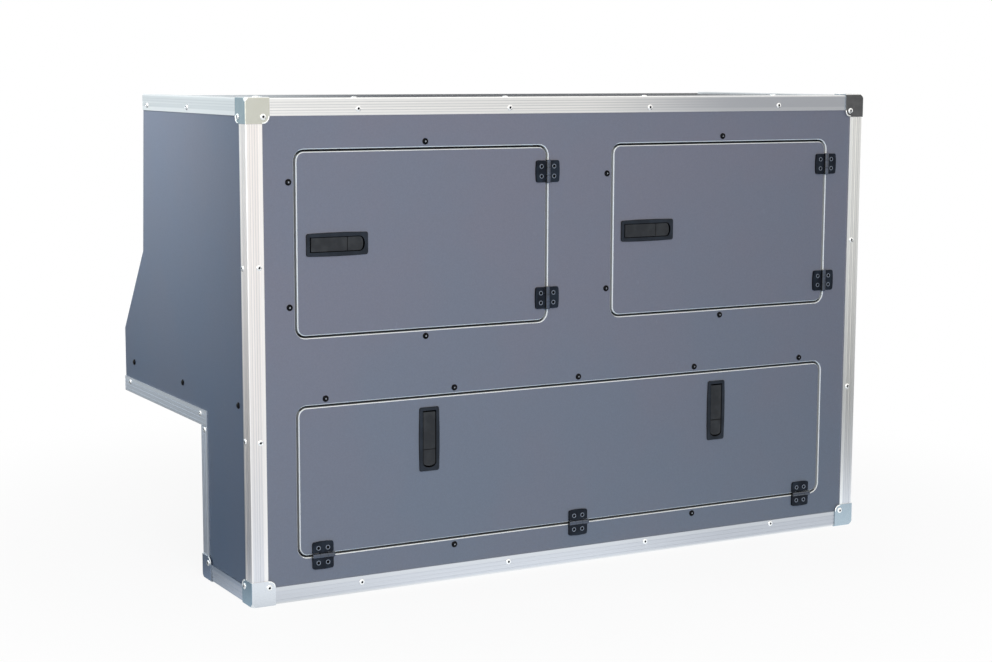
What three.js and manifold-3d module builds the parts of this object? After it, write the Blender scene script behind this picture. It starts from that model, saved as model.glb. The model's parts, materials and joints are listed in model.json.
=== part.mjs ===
// A vehicle built-in cabinet. A carcass of laminated boards stands on a shallow foot and reaches back over a
// wheel arch. Riveted aluminium angle profiles and corner caps cover its edges. Two doors and a flap close
// cut-outs in the front, each on surface hinges and held by flush rocker latches.
// Millimetres, +Z up, the front faces -Y, the left side is at -X.

import * as THREE from 'three';
import { RoundedBoxGeometry } from 'three/addons/geometries/RoundedBoxGeometry.js';
import { mergeVertices } from 'three/addons/utils/BufferGeometryUtils.js';
import Module from 'manifold-3d';

const wasm = await Module();
wasm.setup();

// Overall size, over the corner caps
const cabinetWidth = 1320;
const cabinetHeight = 880;
const cabinetDepth = 678;

// Side outline: the foot, the underside over the wheel arch, and the rear edge that leans in above it
const footDepth = 245;
const archHeight = 284;
const wallRise = 57;
const slopeRise = 165;
const slopeRun = 123;
const topLean = 22;

// Boards, and the free height between the arch panel and the shelf
const boardWall = 15;
const innerBoardWall = 12;
const backSheetWall = 3;
const stopFrameWall = 6;
const archSpace = 43.7;

// Clearances: between neighbours, between moving pieces, and what a cutting shape runs past a face
const fitGap = 0.3;
const runGap = 0.5;
const overrun = 2;

// Angle profiles
const flangeWidth = 30;
const flangeWall = 2;
const profileEdgeRadius = 1.5;
const grooveCount = 3;
const groovePitch = 7.5;
const grooveWidth = 1.6;
const grooveDepth = 0.4;

// Corner caps
const capReach = 45;
const capWall = 1.5;
const capEarRadius = 12;
const capEdgeRadius = 2.5;
const capCornerRadius = 14;

// Doors and flap, measured to the middle of the gap round them
const doorSideMargin = 91;
const doorTopMargin = 91;
const doorSpacing = 142;
const railHeight = 122.5;
const flapFootHeight = 79.2;
const flapTopRise = 3;
const doorCornerRadius = 17;
const cutGap = 4;
const cutChamfer = 1.5;

// Stop frames behind the cut-outs
const stopLap = 12;
const stopLand = 24;
const stopInnerRadius = 6;
const stopOuterRadius = 20;

// Hinges: their middles stand in from the hinged edge's ends, and a door's sit a little below its middle
const hingeInset = 44.5;
const doorHardwareDrop = 1.5;
const leafReach = 24.2;
const leafLength = 40;
const leafWall = 3.6;
const leafCornerRadius = 4;
const leafBow = 0.8;
const knuckleRadius = 4.5;
const barrelOverhang = 1;
const middleKnuckleLength = 14;
const pinRadius = 1.6;
const dishRadius = 4.2;
const dishFootRadius = 2.2;
const dishDepth = 1.8;
const dishPlace = 13.2;
const dishSpread = 9;

// Latch housings, in a latch's own frame: u runs from the door's free edge inwards, w points outwards
const latchSetback = 11.3;
const flapLatchInset = 255;
const bezelEndBorder = 6.5;
const bezelSideBorder = 6.5;
const bezelWall = 3;
const bezelRadius = 4;
const bezelBulge = 1;
const bezelChamfer = 0.8;
const recessLength = 104;
const recessWidth = 26.5;
const recessRoundEnd = 9;
const cupWall = 2;

// Rocker paddles
const paddleWall = 4.5;
const paddleSink = 1.1;
const paddleSideGap = 1.1;
const paddleHeelGap = 1.6;
const paddleEndGap = 2.5;
const pivotPlace = 19;
const pivotDepth = 5;
const pivotBossRadius = 4;
const trunnionRadius = 2;
const trunnionLength = 1.6;
const creaseWidth = 1.8;
const creaseDepth = 1.2;
const fingerPlace = 25;
const fingerWall = 3;
const fingerWidth = 8;
const fingerReach = 7.2;
const paddleTurnDegrees = 25;

// Latch bolts
const boltThrow = 6;
const boltCatch = 5;
const boltBackGap = 1.4;
const boltWall = 5;
const boltWidth = 10;
const boltBevel = 4;
const rampGap = 1.3;

// Steps in the round shapes
const cornerSteps = 3;
const recessSteps = 4;
const barrelSteps = 16;
const cornerRings = 16;
const pinSteps = 10;
const dishSteps = 8;

// Places that follow from the sizes above
const flangeFace = capWall + fitGap;
const panelFace = flangeFace + flangeWall + fitGap;
const innerLeft = panelFace + boardWall + fitGap;
const innerRight = cabinetWidth - innerLeft;
const innerFront = innerLeft;
const archPanelFoot = archHeight + flangeWall + fitGap;
const footBackRear = footDepth - panelFace;
const footBackFront = footBackRear - boardWall;
const boardRear = cabinetDepth - backSheetWall - fitGap;
const topInside = cabinetHeight - panelFace - boardWall;
const archPanelTop = archPanelFoot + innerBoardWall;
const shelfFoot = archPanelTop + archSpace;
const shelfTop = shelfFoot + innerBoardWall;
const slopeFootHeight = shelfTop + wallRise;
const slopeTopHeight = slopeFootHeight + slopeRise;
const slopeTopDepth = cabinetDepth - slopeRun;
const topDepth = slopeTopDepth - topLean;
const stopFrameFace = boardWall + fitGap;
const stopFrameRear = stopFrameFace + stopFrameWall;
const hingeAxisHeight = knuckleRadius + fitGap;
const frontReach = panelFace - hingeAxisHeight - knuckleRadius;
const doorWidth = (cabinetWidth - 2 * doorSideMargin - doorSpacing) / 2;
const flapTopHeight = shelfFoot + flapTopRise;
const flapHeight = flapTopHeight - flapFootHeight;
const doorFootHeight = flapTopHeight + railHeight;
const doorHeight = cabinetHeight - doorTopMargin - doorFootHeight;

// Materials
const laminate = new THREE.MeshStandardMaterial({ color: 0x707786, roughness: 0.6, metalness: 0 });
const plywood = new THREE.MeshStandardMaterial({ color: 0xd8c8a6, roughness: 0.7, metalness: 0 });
const aluminium = new THREE.MeshStandardMaterial({ color: 0xd0d2d4, roughness: 0.35, metalness: 0.9 });
const plated = new THREE.MeshStandardMaterial({ color: 0xc8c9c4, roughness: 0.25, metalness: 1 });
const blackPlastic = new THREE.MeshStandardMaterial({ color: 0x2b2d32, roughness: 0.5, metalness: 0 });
const backPlastic = new THREE.MeshStandardMaterial({ color: 0x8a8f99, roughness: 0.6, metalness: 0 });
const steel = new THREE.MeshStandardMaterial({ color: 0xb4b6b8, roughness: 0.4, metalness: 0.9 });

// Joining and cutting of closed geometries

function solidOf(geometry) {
  const bare = geometry.clone();
  bare.deleteAttribute('normal');
  bare.deleteAttribute('uv');
  const merged = mergeVertices(bare);
  return new wasm.Manifold(new wasm.Mesh({
    numProp: 3,
    vertProperties: new Float32Array(merged.attributes.position.array),
    triVerts: new Uint32Array(merged.index.array),
  }));
}

function geometryOf(solid) {
  const mesh = solid.getMesh();
  const geometry = new THREE.BufferGeometry();
  geometry.setAttribute('position', new THREE.BufferAttribute(new Float32Array(mesh.vertProperties), 3));
  geometry.setIndex(new THREE.BufferAttribute(new Uint32Array(mesh.triVerts), 1));
  const faceted = geometry.toNonIndexed();
  faceted.computeVertexNormals();
  return faceted;
}

function joined(...geometries) {
  return geometryOf(geometries.map(solidOf).reduce((sum, solid) => sum.add(solid)));
}

function cutFrom(body, ...tools) {
  return geometryOf(tools.map(solidOf).reduce((rest, tool) => rest.subtract(tool), solidOf(body)));
}

function common(first, second) {
  return geometryOf(solidOf(first).intersect(solidOf(second)));
}

// Basic shapes

function block([x0, x1], [y0, y1], [z0, z1]) {
  const geometry = new THREE.BoxGeometry(x1 - x0, y1 - y0, z1 - z0);
  return geometry.translate((x0 + x1) / 2, (y0 + y1) / 2, (z0 + z1) / 2);
}

// A rod along the local Y axis
function rod(radius, [y0, y1], steps, topRadius = radius) {
  return new THREE.CylinderGeometry(topRadius, radius, y1 - y0, steps).translate(0, (y0 + y1) / 2, 0);
}

function polygon(points) {
  return new THREE.Shape(points.map(([x, y]) => new THREE.Vector2(x, y)));
}

function extruded(outline, [from, to], chamfer = 0, steps = cornerSteps) {
  const geometry = new THREE.ExtrudeGeometry(outline, {
    depth: to - from - 2 * chamfer,
    bevelEnabled: chamfer > 0,
    bevelThickness: chamfer,
    bevelSize: chamfer,
    bevelOffset: -chamfer,
    bevelSegments: 1,
    curveSegments: steps,
  });
  return geometry.translate(0, 0, from + chamfer);
}

// A rectangle with round corners, drawn into a shape or a hole
function roundedRectangle(path, [x0, x1], [y0, y1], radius) {
  path.moveTo(x0 + radius, y0);
  path.lineTo(x1 - radius, y0);
  path.absarc(x1 - radius, y0 + radius, radius, -Math.PI / 2, 0, false);
  path.lineTo(x1, y1 - radius);
  path.absarc(x1 - radius, y1 - radius, radius, 0, Math.PI / 2, false);
  path.lineTo(x0 + radius, y1);
  path.absarc(x0 + radius, y1 - radius, radius, Math.PI / 2, Math.PI, false);
  path.lineTo(x0, y0 + radius);
  path.absarc(x0 + radius, y0 + radius, radius, Math.PI, 1.5 * Math.PI, false);
  return path;
}

// Places a line of points at a distance to the left of its direction
function offsetLine(points, distance) {
  const normals = points.slice(1).map(([x, y], i) => {
    const run = new THREE.Vector2(x - points[i][0], y - points[i][1]).normalize();
    return new THREE.Vector2(-run.y, run.x);
  });
  return points.map(([x, y], i) => {
    const before = normals[Math.max(i - 1, 0)];
    const after = normals[Math.min(i, normals.length - 1)];
    const bisector = before.clone().add(after).normalize();
    const reach = distance / bisector.dot(after);
    return [x + bisector.x * reach, y + bisector.y * reach];
  });
}

function piece(name, geometry, material) {
  const mesh = new THREE.Mesh(geometry, material);
  mesh.name = name;
  return mesh;
}

// A place on the front: local u to the right, v up and w outwards, or turned so that u points down
function frontPlace(x, z, turned = false) {
  const place = new THREE.Group();
  place.position.set(x, panelFace, z);
  place.rotation.set(Math.PI / 2, 0, turned ? -Math.PI / 2 : 0);
  return place;
}

// The cut-outs for the doors and the flap, each with its hinges and latches
const upperDoor = { width: doorWidth, height: doorHeight, middle: doorFootHeight + doorHeight / 2 };
const flapWidth = cabinetWidth - 2 * doorSideMargin;
const latchInset = stopLap + latchSetback + cupWall + recessLength / 2;
const latchFromMiddle = doorWidth / 2 - latchInset;
const hingeFromMiddle = doorHeight / 2 - hingeInset;
const doorHinges = {
  upper: [doorWidth / 2, hingeFromMiddle - doorHardwareDrop],
  lower: [doorWidth / 2, -hingeFromMiddle - doorHardwareDrop],
};
const flapHingeFromMiddle = flapWidth / 2 - hingeInset;
const flapLatchFromMiddle = flapWidth / 2 - flapLatchInset;
const closures = [
  {
    ...upperDoor,
    name: 'left_door',
    centre: doorSideMargin + doorWidth / 2,
    turned: false,
    hinges: doorHinges,
    latches: { left_door: [-latchFromMiddle, -doorHardwareDrop] },
  },
  {
    ...upperDoor,
    name: 'right_door',
    centre: cabinetWidth - doorSideMargin - doorWidth / 2,
    turned: false,
    hinges: doorHinges,
    latches: { right_door: [-latchFromMiddle, -doorHardwareDrop] },
  },
  {
    name: 'flap',
    width: flapWidth,
    height: flapHeight,
    centre: cabinetWidth / 2,
    middle: flapFootHeight + flapHeight / 2,
    turned: true,
    hinges: {
      left: [-flapHingeFromMiddle, -flapHeight / 2],
      middle: [0, -flapHeight / 2],
      right: [flapHingeFromMiddle, -flapHeight / 2],
    },
    latches: {
      flap_left: [-flapLatchFromMiddle, flapHeight / 2 - latchInset],
      flap_right: [flapLatchFromMiddle, flapHeight / 2 - latchInset],
    },
  },
];

// The outline round a closure's gap, grown or shrunk, about the closure's own middle or another point
function closureOutline(path, closure, growth, radius, x = 0, y = 0) {
  const halfWidth = closure.width / 2 + growth;
  const halfHeight = closure.height / 2 + growth;
  return roundedRectangle(path, [x - halfWidth, x + halfWidth], [y - halfHeight, y + halfHeight], radius);
}

// Carcass boards

function frontPanel() {
  const outline = polygon([
    [innerLeft, panelFace],
    [innerRight, panelFace],
    [innerRight, cabinetHeight - panelFace],
    [innerLeft, cabinetHeight - panelFace],
  ]);
  for (const closure of closures) {
    const radius = doorCornerRadius + cutGap / 2;
    outline.holes.push(
      closureOutline(new THREE.Path(), closure, cutGap / 2, radius, closure.centre, closure.middle));
  }
  const place = frontPlace(0, 0);
  place.add(piece('front_panel', extruded(outline, [-boardWall, 0], cutChamfer), laminate));
  return place;
}

const rearLine = [
  [cabinetDepth, archPanelFoot],
  [cabinetDepth, slopeFootHeight],
  [slopeTopDepth, slopeTopHeight],
  [topDepth, cabinetHeight - panelFace],
];

function sidePanel(name, x) {
  const outline = polygon([
    [panelFace, panelFace],
    [footBackRear, panelFace],
    [footBackRear, archPanelFoot],
    ...rearLine,
    [panelFace, cabinetHeight - panelFace],
  ]);
  const panel = piece(name, extruded(outline, [0, boardWall]), laminate);
  panel.rotation.set(Math.PI / 2, Math.PI / 2, 0);
  panel.position.x = x;
  return panel;
}

const rearInside = offsetLine(rearLine, backSheetWall);

// The depth of the back sheet's inner face at a height on its leaning upper part
function rearInsideAt(height) {
  const [[lowDepth, lowHeight], [highDepth, highHeight]] = rearInside.slice(-2);
  return THREE.MathUtils.mapLinear(height, lowHeight, highHeight, lowDepth, highDepth);
}

function backSheet() {
  const outline = polygon([...rearLine, ...rearInside.toReversed()]);
  const sheet = piece('back_sheet', extruded(outline, [innerLeft, innerRight]), backPlastic);
  sheet.rotation.set(Math.PI / 2, Math.PI / 2, 0);
  return sheet;
}

function levelBoard(name, depths, heights) {
  return piece(name, block([innerLeft, innerRight], depths, heights), laminate);
}

function carcassBoards() {
  const topRear = Math.min(rearInsideAt(topInside), rearInsideAt(topInside + boardWall)) - fitGap;
  const shelfFront = panelFace + stopFrameRear + fitGap;
  return [
    frontPanel(),
    sidePanel('left_side_panel', panelFace),
    sidePanel('right_side_panel', cabinetWidth - panelFace - boardWall),
    backSheet(),
    levelBoard('top_panel', [innerFront, topRear], [topInside, topInside + boardWall]),
    levelBoard('base_panel', [innerFront, footBackRear], [panelFace, panelFace + boardWall]),
    levelBoard('foot_back_panel', [footBackFront, footBackRear],
      [panelFace + boardWall + fitGap, archPanelFoot - fitGap]),
    levelBoard('arch_panel', [footBackFront, boardRear], [archPanelFoot, archPanelTop]),
    levelBoard('middle_shelf', [shelfFront, boardRear], [shelfFoot, shelfTop]),
  ];
}

// Angle profiles

function profileSection() {
  const section = new THREE.Shape();
  const grooves = Array.from({ length: grooveCount }, (_, i) => flangeWidth / 2
    + (i - (grooveCount - 1) / 2) * groovePitch);
  const along = grooves.flatMap((middle) => [
    [middle - grooveWidth / 2, 0],
    [middle - grooveWidth / 2, grooveDepth],
    [middle + grooveWidth / 2, grooveDepth],
    [middle + grooveWidth / 2, 0],
  ]);
  const back = along.map(([a, b]) => [b, a]).reverse();
  section.moveTo(profileEdgeRadius, 0);
  for (const [a, b] of [...along, [flangeWidth, 0], [flangeWidth, flangeWall], [flangeWall, flangeWall],
    [flangeWall, flangeWidth], [0, flangeWidth], ...back, [0, profileEdgeRadius]]) {
    section.lineTo(a, b);
  }
  section.absarc(profileEdgeRadius, profileEdgeRadius, profileEdgeRadius, Math.PI, 1.5 * Math.PI, false);
  return section;
}

// A profile from its outer corner: one flange points along a, the other along b, and it runs along a x b
function angleProfile(name, corner, a, b, length, notch) {
  let geometry = extruded(profileSection(), [0, length], 0, 1);
  if (notch) {
    geometry = cutFrom(geometry, notch);
  }
  const profile = piece(name, geometry, aluminium);
  const along = new THREE.Vector3().crossVectors(a, b);
  profile.quaternion.setFromRotationMatrix(new THREE.Matrix4().makeBasis(a, b, along));
  profile.position.set(...corner);
  return profile;
}

const left = new THREE.Vector3(-1, 0, 0);
const right = new THREE.Vector3(1, 0, 0);
const forward = new THREE.Vector3(0, -1, 0);
const rearward = new THREE.Vector3(0, 1, 0);
const down = new THREE.Vector3(0, 0, -1);
const up = new THREE.Vector3(0, 0, 1);

// The notch lets the arch profile's side flange run on over the foot, past the foot's own boards
function archNotch(sideFirst) {
  const beyondFlange = [flangeWall, flangeWidth + overrun];
  const across = [-overrun, flangeWidth + overrun];
  const along = [-overrun, flangeWidth - flangeWall];
  return sideFirst ? block(across, beyondFlange, along) : block(beyondFlange, across, along);
}

function angleProfiles() {
  const outerLeft = flangeFace;
  const outerRight = cabinetWidth - flangeFace;
  const outerFront = flangeFace;
  const outerFoot = flangeFace;
  const outerTop = cabinetHeight - flangeFace;
  const uprightFoot = capCornerRadius;
  const footRear = footDepth - flangeFace;
  const inset = flangeWidth + fitGap;
  const acrossLength = outerRight - outerLeft - 2 * inset;
  const uprightLength = cabinetHeight - 2 * capCornerRadius;
  const topLength = topDepth - outerFront - inset;
  const footLength = footRear - outerFront - 2 * inset;
  const footRearLength = archHeight - fitGap - uprightFoot;
  const archStart = footRear - flangeWidth;
  const archLength = cabinetDepth - archStart;
  return [
    angleProfile('front_left_profile', [outerLeft, outerFront, uprightFoot],
      right, rearward, uprightLength),
    angleProfile('front_right_profile', [outerRight, outerFront, uprightFoot],
      rearward, left, uprightLength),
    angleProfile('front_top_profile', [outerLeft + inset, outerFront, outerTop],
      down, rearward, acrossLength),
    angleProfile('front_bottom_profile', [outerLeft + inset, outerFront, outerFoot],
      rearward, up, acrossLength),
    angleProfile('left_top_profile', [outerLeft, outerFront + inset, outerTop], right, down, topLength),
    angleProfile('right_top_profile', [outerRight, outerFront + inset, outerTop], down, left, topLength),
    angleProfile('left_foot_profile', [outerLeft, outerFront + inset, outerFoot], up, right, footLength),
    angleProfile('right_foot_profile', [outerRight, outerFront + inset, outerFoot], left, up, footLength),
    angleProfile('foot_rear_profile', [outerLeft + inset, footRear, outerFoot], up, forward, acrossLength),
    angleProfile('left_foot_rear_profile', [outerLeft, footRear, uprightFoot],
      forward, right, footRearLength),
    angleProfile('right_foot_rear_profile', [outerRight, footRear, uprightFoot],
      left, forward, footRearLength),
    angleProfile('left_arch_profile', [outerLeft, archStart, archHeight], up, right, archLength,
      archNotch(true)),
    angleProfile('right_arch_profile', [outerRight, archStart, archHeight], left, up, archLength,
      archNotch(false)),
  ];
}

// Corner caps

// The outline that one side of a cap covers, as a slab deep enough to hold the cap's round corner
function capSlab() {
  const outline = new THREE.Shape();
  outline.moveTo(0, 0);
  outline.lineTo(capReach, 0);
  outline.lineTo(capReach, capReach - capEarRadius);
  outline.absarc(capReach - capEarRadius, capReach - capEarRadius, capEarRadius, 0, Math.PI / 2, false);
  outline.lineTo(0, capReach);
  return extruded(outline, [0, capCornerRadius]);
}

// The cap's outer form, or its inner form at a depth: edges slightly round, the corner a part of a ball
function capForm(depth) {
  const size = 2 * (capReach + overrun);
  const edge = new RoundedBoxGeometry(size, size, size, 2, capEdgeRadius - depth);
  const ball = new THREE.SphereGeometry(1, 2 * cornerRings, cornerRings);
  const radius = Math.SQRT2 * capCornerRadius - depth;
  const away = joined(
    block([capCornerRadius, size], [depth, size], [depth, size]),
    block([depth, size], [capCornerRadius, size], [depth, size]),
    block([depth, size], [depth, size], [capCornerRadius, size]),
    ball.scale(radius, radius, radius).translate(capCornerRadius, capCornerRadius, capCornerRadius),
  );
  return common(edge.translate(size / 2 + depth, size / 2 + depth, size / 2 + depth), away);
}

// A cap in its own octant: its corner is at the origin and its three plates reach along +X, +Y and +Z
function capGeometry() {
  const floor = capSlab();
  const front = capSlab().applyMatrix4(new THREE.Matrix4().makeBasis(up, right, rearward));
  const side = capSlab().applyMatrix4(new THREE.Matrix4().makeBasis(rearward, up, right));
  return common(cutFrom(capForm(0), capForm(capWall)), joined(floor, front, side));
}

function cornerCap(name, corner, x, y, z) {
  const cap = piece(name, capGeometry(), plated);
  const mirrored = x.x * y.y * z.z < 0;
  const basis = mirrored ? [y, x, z] : [x, y, z];
  cap.quaternion.setFromRotationMatrix(new THREE.Matrix4().makeBasis(...basis));
  cap.position.set(...corner);
  return cap;
}

function cornerCaps() {
  const sides = [['left', 0, right], ['right', cabinetWidth, left]];
  return sides.flatMap(([side, x, inward]) => [
    cornerCap(`front_top_${side}_cap`, [x, 0, cabinetHeight], inward, rearward, down),
    cornerCap(`front_bottom_${side}_cap`, [x, 0, 0], inward, rearward, up),
    cornerCap(`foot_rear_${side}_cap`, [x, footDepth, 0], inward, forward, up),
  ]);
}

// Hinges, in a hinge's own frame: u across the gap, v along the pin, w outwards from the boards' face

function leafPlate() {
  const half = leafLength / 2;
  const start = knuckleRadius + runGap;
  const outline = new THREE.Shape();
  outline.moveTo(start, -half);
  outline.lineTo(leafReach - leafCornerRadius, -half);
  outline.absarc(leafReach - leafCornerRadius, leafCornerRadius - half, leafCornerRadius,
    -Math.PI / 2, 0, false);
  outline.quadraticCurveTo(leafReach + 2 * leafBow, 0, leafReach, half - leafCornerRadius);
  outline.absarc(leafReach - leafCornerRadius, half - leafCornerRadius, leafCornerRadius,
    0, Math.PI / 2, false);
  outline.lineTo(start, half);
  return extruded(outline, [fitGap, fitGap + leafWall], 0, cornerSteps);
}

function screwDishes() {
  const top = fitGap + leafWall;
  return [-dishSpread, dishSpread].map((v) => {
    const dish = rod(dishFootRadius, [top - dishDepth, top], dishSteps, dishRadius);
    return dish.translate(0, -top, 0).rotateX(Math.PI / 2).translate(dishPlace, v, top);
  });
}

function knuckle([v0, v1]) {
  const barrel = rod(knuckleRadius, [v0, v1], barrelSteps).translate(0, 0, hingeAxisHeight);
  const half = leafLength / 2;
  const webEnd = knuckleRadius + 2 * runGap;
  const web = block([0, webEnd], [Math.max(v0, -half), Math.min(v1, half)], [fitGap, fitGap + leafWall]);
  return joined(barrel, web);
}

function frameLeaf() {
  const end = leafLength / 2 + barrelOverhang;
  const start = middleKnuckleLength / 2 + fitGap;
  const pin = rod(pinRadius, [-end, end], pinSteps).translate(0, 0, hingeAxisHeight);
  const leaf = joined(leafPlate(), knuckle([start, end]), knuckle([-end, -start]), pin);
  return cutFrom(leaf, ...screwDishes());
}

function movingLeaf() {
  const half = middleKnuckleLength / 2;
  const leaf = joined(leafPlate(), knuckle([-half, half]));
  const bore = rod(pinRadius + fitGap, [-half - overrun, half + overrun], pinSteps);
  return cutFrom(leaf, bore.translate(0, 0, hingeAxisHeight), ...screwDishes()).rotateZ(Math.PI);
}

// Latches

// The outline of the recess or the paddle: straight at the free edge's end, round at the other
function recessOutline([start, end], half) {
  const shoulder = recessLength / 2 - recessRoundEnd;
  const outline = new THREE.Shape();
  outline.moveTo(start, -half);
  outline.lineTo(shoulder, -half);
  outline.absellipse(shoulder, 0, end - shoulder, half, -Math.PI / 2, Math.PI / 2, false);
  outline.lineTo(start, half);
  return outline;
}

function bezelOutline() {
  const halfLength = bezelLength / 2;
  const halfWidth = bezelWidth / 2;
  const outline = new THREE.Shape();
  outline.moveTo(bezelRadius - halfLength, -halfWidth);
  outline.quadraticCurveTo(0, -halfWidth - 2 * bezelBulge, halfLength - bezelRadius, -halfWidth);
  outline.absarc(halfLength - bezelRadius, bezelRadius - halfWidth, bezelRadius, -Math.PI / 2, 0, false);
  outline.lineTo(halfLength, halfWidth - bezelRadius);
  outline.absarc(halfLength - bezelRadius, halfWidth - bezelRadius, bezelRadius, 0, Math.PI / 2, false);
  outline.quadraticCurveTo(0, halfWidth + 2 * bezelBulge, bezelRadius - halfLength, halfWidth);
  outline.absarc(bezelRadius - halfLength, halfWidth - bezelRadius, bezelRadius,
    Math.PI / 2, Math.PI, false);
  outline.lineTo(-halfLength, bezelRadius - halfWidth);
  outline.absarc(bezelRadius - halfLength, bezelRadius - halfWidth, bezelRadius,
    Math.PI, 1.5 * Math.PI, false);
  return outline;
}

const bezelLength = recessLength + 2 * bezelEndBorder;
const bezelWidth = recessWidth + 2 * bezelSideBorder;
const cupDepth = stopFrameRear + boltBackGap + boltWall + fitGap;
const bezelTop = fitGap + bezelWall;
const paddleTop = bezelTop - paddleSink;
const paddleFoot = paddleTop - paddleWall;
const boltFoot = fitGap - cupDepth;
const boltTop = boltFoot + boltWall;
const boltHeel = pivotPlace + fingerPlace - fingerWall / 2;
const boltTip = stopLap - latchInset - boltCatch;

function latchHousing() {
  const halfLength = recessLength / 2 + cupWall;
  const halfWidth = recessWidth / 2 + cupWall;
  const cup = block([-halfLength, halfLength], [-halfWidth, halfWidth], [-cupDepth - cupWall, bezelTop / 2]);
  const shell = joined(extruded(bezelOutline(), [fitGap, bezelTop], bezelChamfer), cup);
  const ends = [-recessLength / 2, recessLength / 2];
  const recess = extruded(recessOutline(ends, recessWidth / 2), [-cupDepth, bezelTop + overrun], 0,
    recessSteps);
  const slot = block([-halfLength - overrun, overrun - recessLength / 2],
    [-boltWidth / 2 - runGap, boltWidth / 2 + runGap], [-cupDepth, boltTop + runGap]);
  const bearing = rod(trunnionRadius + fitGap, [-halfWidth - overrun, halfWidth + overrun], pinSteps)
    .translate(pivotPlace, 0, -pivotDepth);
  return cutFrom(shell, recess, slot, bearing);
}

// The paddle's round end stays clear of the recess's end wall as its top edge swings past it
function rockerPaddle() {
  const swing = recessLength / 2 - pivotPlace - fitGap;
  const heel = pivotPlace + Math.sqrt(swing ** 2 - (paddleTop + pivotDepth) ** 2) - paddleHeelGap;
  const halfWidth = recessWidth / 2 - paddleSideGap;
  const ends = [paddleEndGap - recessLength / 2, heel];
  const plate = extruded(recessOutline(ends, halfWidth), [paddleFoot, paddleTop], 0, recessSteps);
  const boss = rod(pivotBossRadius, [-halfWidth, halfWidth], pinSteps).translate(pivotPlace, 0, -pivotDepth);
  const pinEnd = recessWidth / 2 + trunnionLength;
  const trunnion = rod(trunnionRadius, [-pinEnd, pinEnd], pinSteps).translate(pivotPlace, 0, -pivotDepth);
  const fingerEnd = pivotPlace + fingerPlace;
  const finger = block([fingerEnd - fingerWall, fingerEnd], [-fingerWidth / 2, fingerWidth / 2],
    [-pivotDepth - fingerReach, paddleTop - paddleWall / 2]);
  const crease = rod(creaseWidth / 2, [-recessWidth, recessWidth], 4)
    .scale(1, 1, creaseDepth / (creaseWidth / 2))
    .translate(pivotPlace, 0, paddleTop);
  return cutFrom(joined(plate, boss, trunnion, finger), crease);
}

// The finger's lower corner pushes a ramp on the bolt, and so draws the bolt back as the paddle turns
function fingerCorner(turn) {
  const corner = new THREE.Vector2(fingerPlace, -fingerReach);
  corner.rotateAround(new THREE.Vector2(0, 0), -turn);
  return corner.add(new THREE.Vector2(pivotPlace, -pivotDepth));
}

function latchBolt() {
  const start = fingerCorner(0);
  const end = fingerCorner(THREE.MathUtils.degToRad(paddleTurnDegrees));
  end.x -= boltThrow;
  const slope = (start.y - end.y) / (start.x - end.x);
  const rampAt = (u) => start.y - rampGap - (start.x - u) * slope;
  const rampFoot = start.x - (start.y - rampGap - boltTop) / slope;
  const outline = polygon([
    [boltTip + boltBevel, boltFoot],
    [boltHeel, boltFoot],
    [boltHeel, rampAt(boltHeel)],
    [rampFoot, boltTop],
    [boltTip, boltTop],
    [boltTip, boltFoot + boltBevel],
  ]);
  return extruded(outline, [-boltWidth / 2, boltWidth / 2]).rotateX(Math.PI / 2);
}

// Doors and flap with their hinges, latches and stop frames

function closurePanel(closure) {
  const outline = closureOutline(new THREE.Shape(), closure, -cutGap / 2, doorCornerRadius - cutGap / 2);
  const halfLength = recessLength / 2 + cupWall + runGap;
  const halfWidth = recessWidth / 2 + cupWall + runGap;
  for (const [x, y] of Object.values(closure.latches)) {
    const [halfX, halfY] = closure.turned ? [halfWidth, halfLength] : [halfLength, halfWidth];
    outline.holes.push(
      roundedRectangle(new THREE.Path(), [x - halfX, x + halfX], [y - halfY, y + halfY], cupWall / 2));
  }
  return extruded(outline, [-boardWall, 0], cutChamfer);
}

function stopFrame(closure) {
  const outline = closureOutline(new THREE.Shape(), closure, stopLand, stopOuterRadius);
  outline.holes.push(closureOutline(new THREE.Path(), closure, -stopLap, stopInnerRadius));
  return extruded(outline, [-stopFrameRear, -stopFrameFace]);
}

function closureParts(closure) {
  const place = frontPlace(closure.centre, closure.middle);
  place.add(piece(`${closure.name}_panel`, closurePanel(closure), laminate));
  place.add(piece(`${closure.name}_stop_frame`, stopFrame(closure), plywood));
  const turn = closure.turned ? -Math.PI / 2 : 0;
  for (const [label, [x, y]] of Object.entries(closure.hinges)) {
    const hinge = new THREE.Group();
    hinge.position.set(x, y, 0);
    hinge.rotation.z = turn;
    hinge.add(piece(`${closure.name}_${label}_frame_leaf`, frameLeaf(), blackPlastic));
    hinge.add(piece(`${closure.name}_${label}_moving_leaf`, movingLeaf(), blackPlastic));
    place.add(hinge);
  }
  for (const [label, [x, y]] of Object.entries(closure.latches)) {
    const latch = new THREE.Group();
    latch.position.set(x, y, 0);
    latch.rotation.z = turn;
    latch.add(piece(`${label}_latch_housing`, latchHousing(), blackPlastic));
    latch.add(piece(`${label}_latch_paddle`, rockerPaddle(), blackPlastic));
    latch.add(piece(`${label}_latch_bolt`, latchBolt(), steel));
    place.add(latch);
  }
  return place;
}

// The whole cabinet, with its origin under the middle of its outline, at the floor
const cabinet = new THREE.Group();
cabinet.position.set(-cabinetWidth / 2, -(frontReach + cabinetDepth) / 2, 0);
cabinet.add(...carcassBoards(), ...angleProfiles(), ...cornerCaps(), ...closures.map(closureParts));

export default cabinet;
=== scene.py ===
"""Looks of a vehicle's built-in cabinet: slate laminate boards held in riveted aluminium profiles.

Every size is in metres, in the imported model's own frame: the origin lies on the floor under the
cabinet's middle, +X runs to its right, +Z up, and its front looks towards -Y.
"""

import json
import logging
import math
from dataclasses import dataclass, field, replace
from enum import Enum
from typing import ClassVar

import bmesh
import bpy
from mathutils import Matrix, Vector
from mathutils.bvhtree import BVHTree

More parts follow.
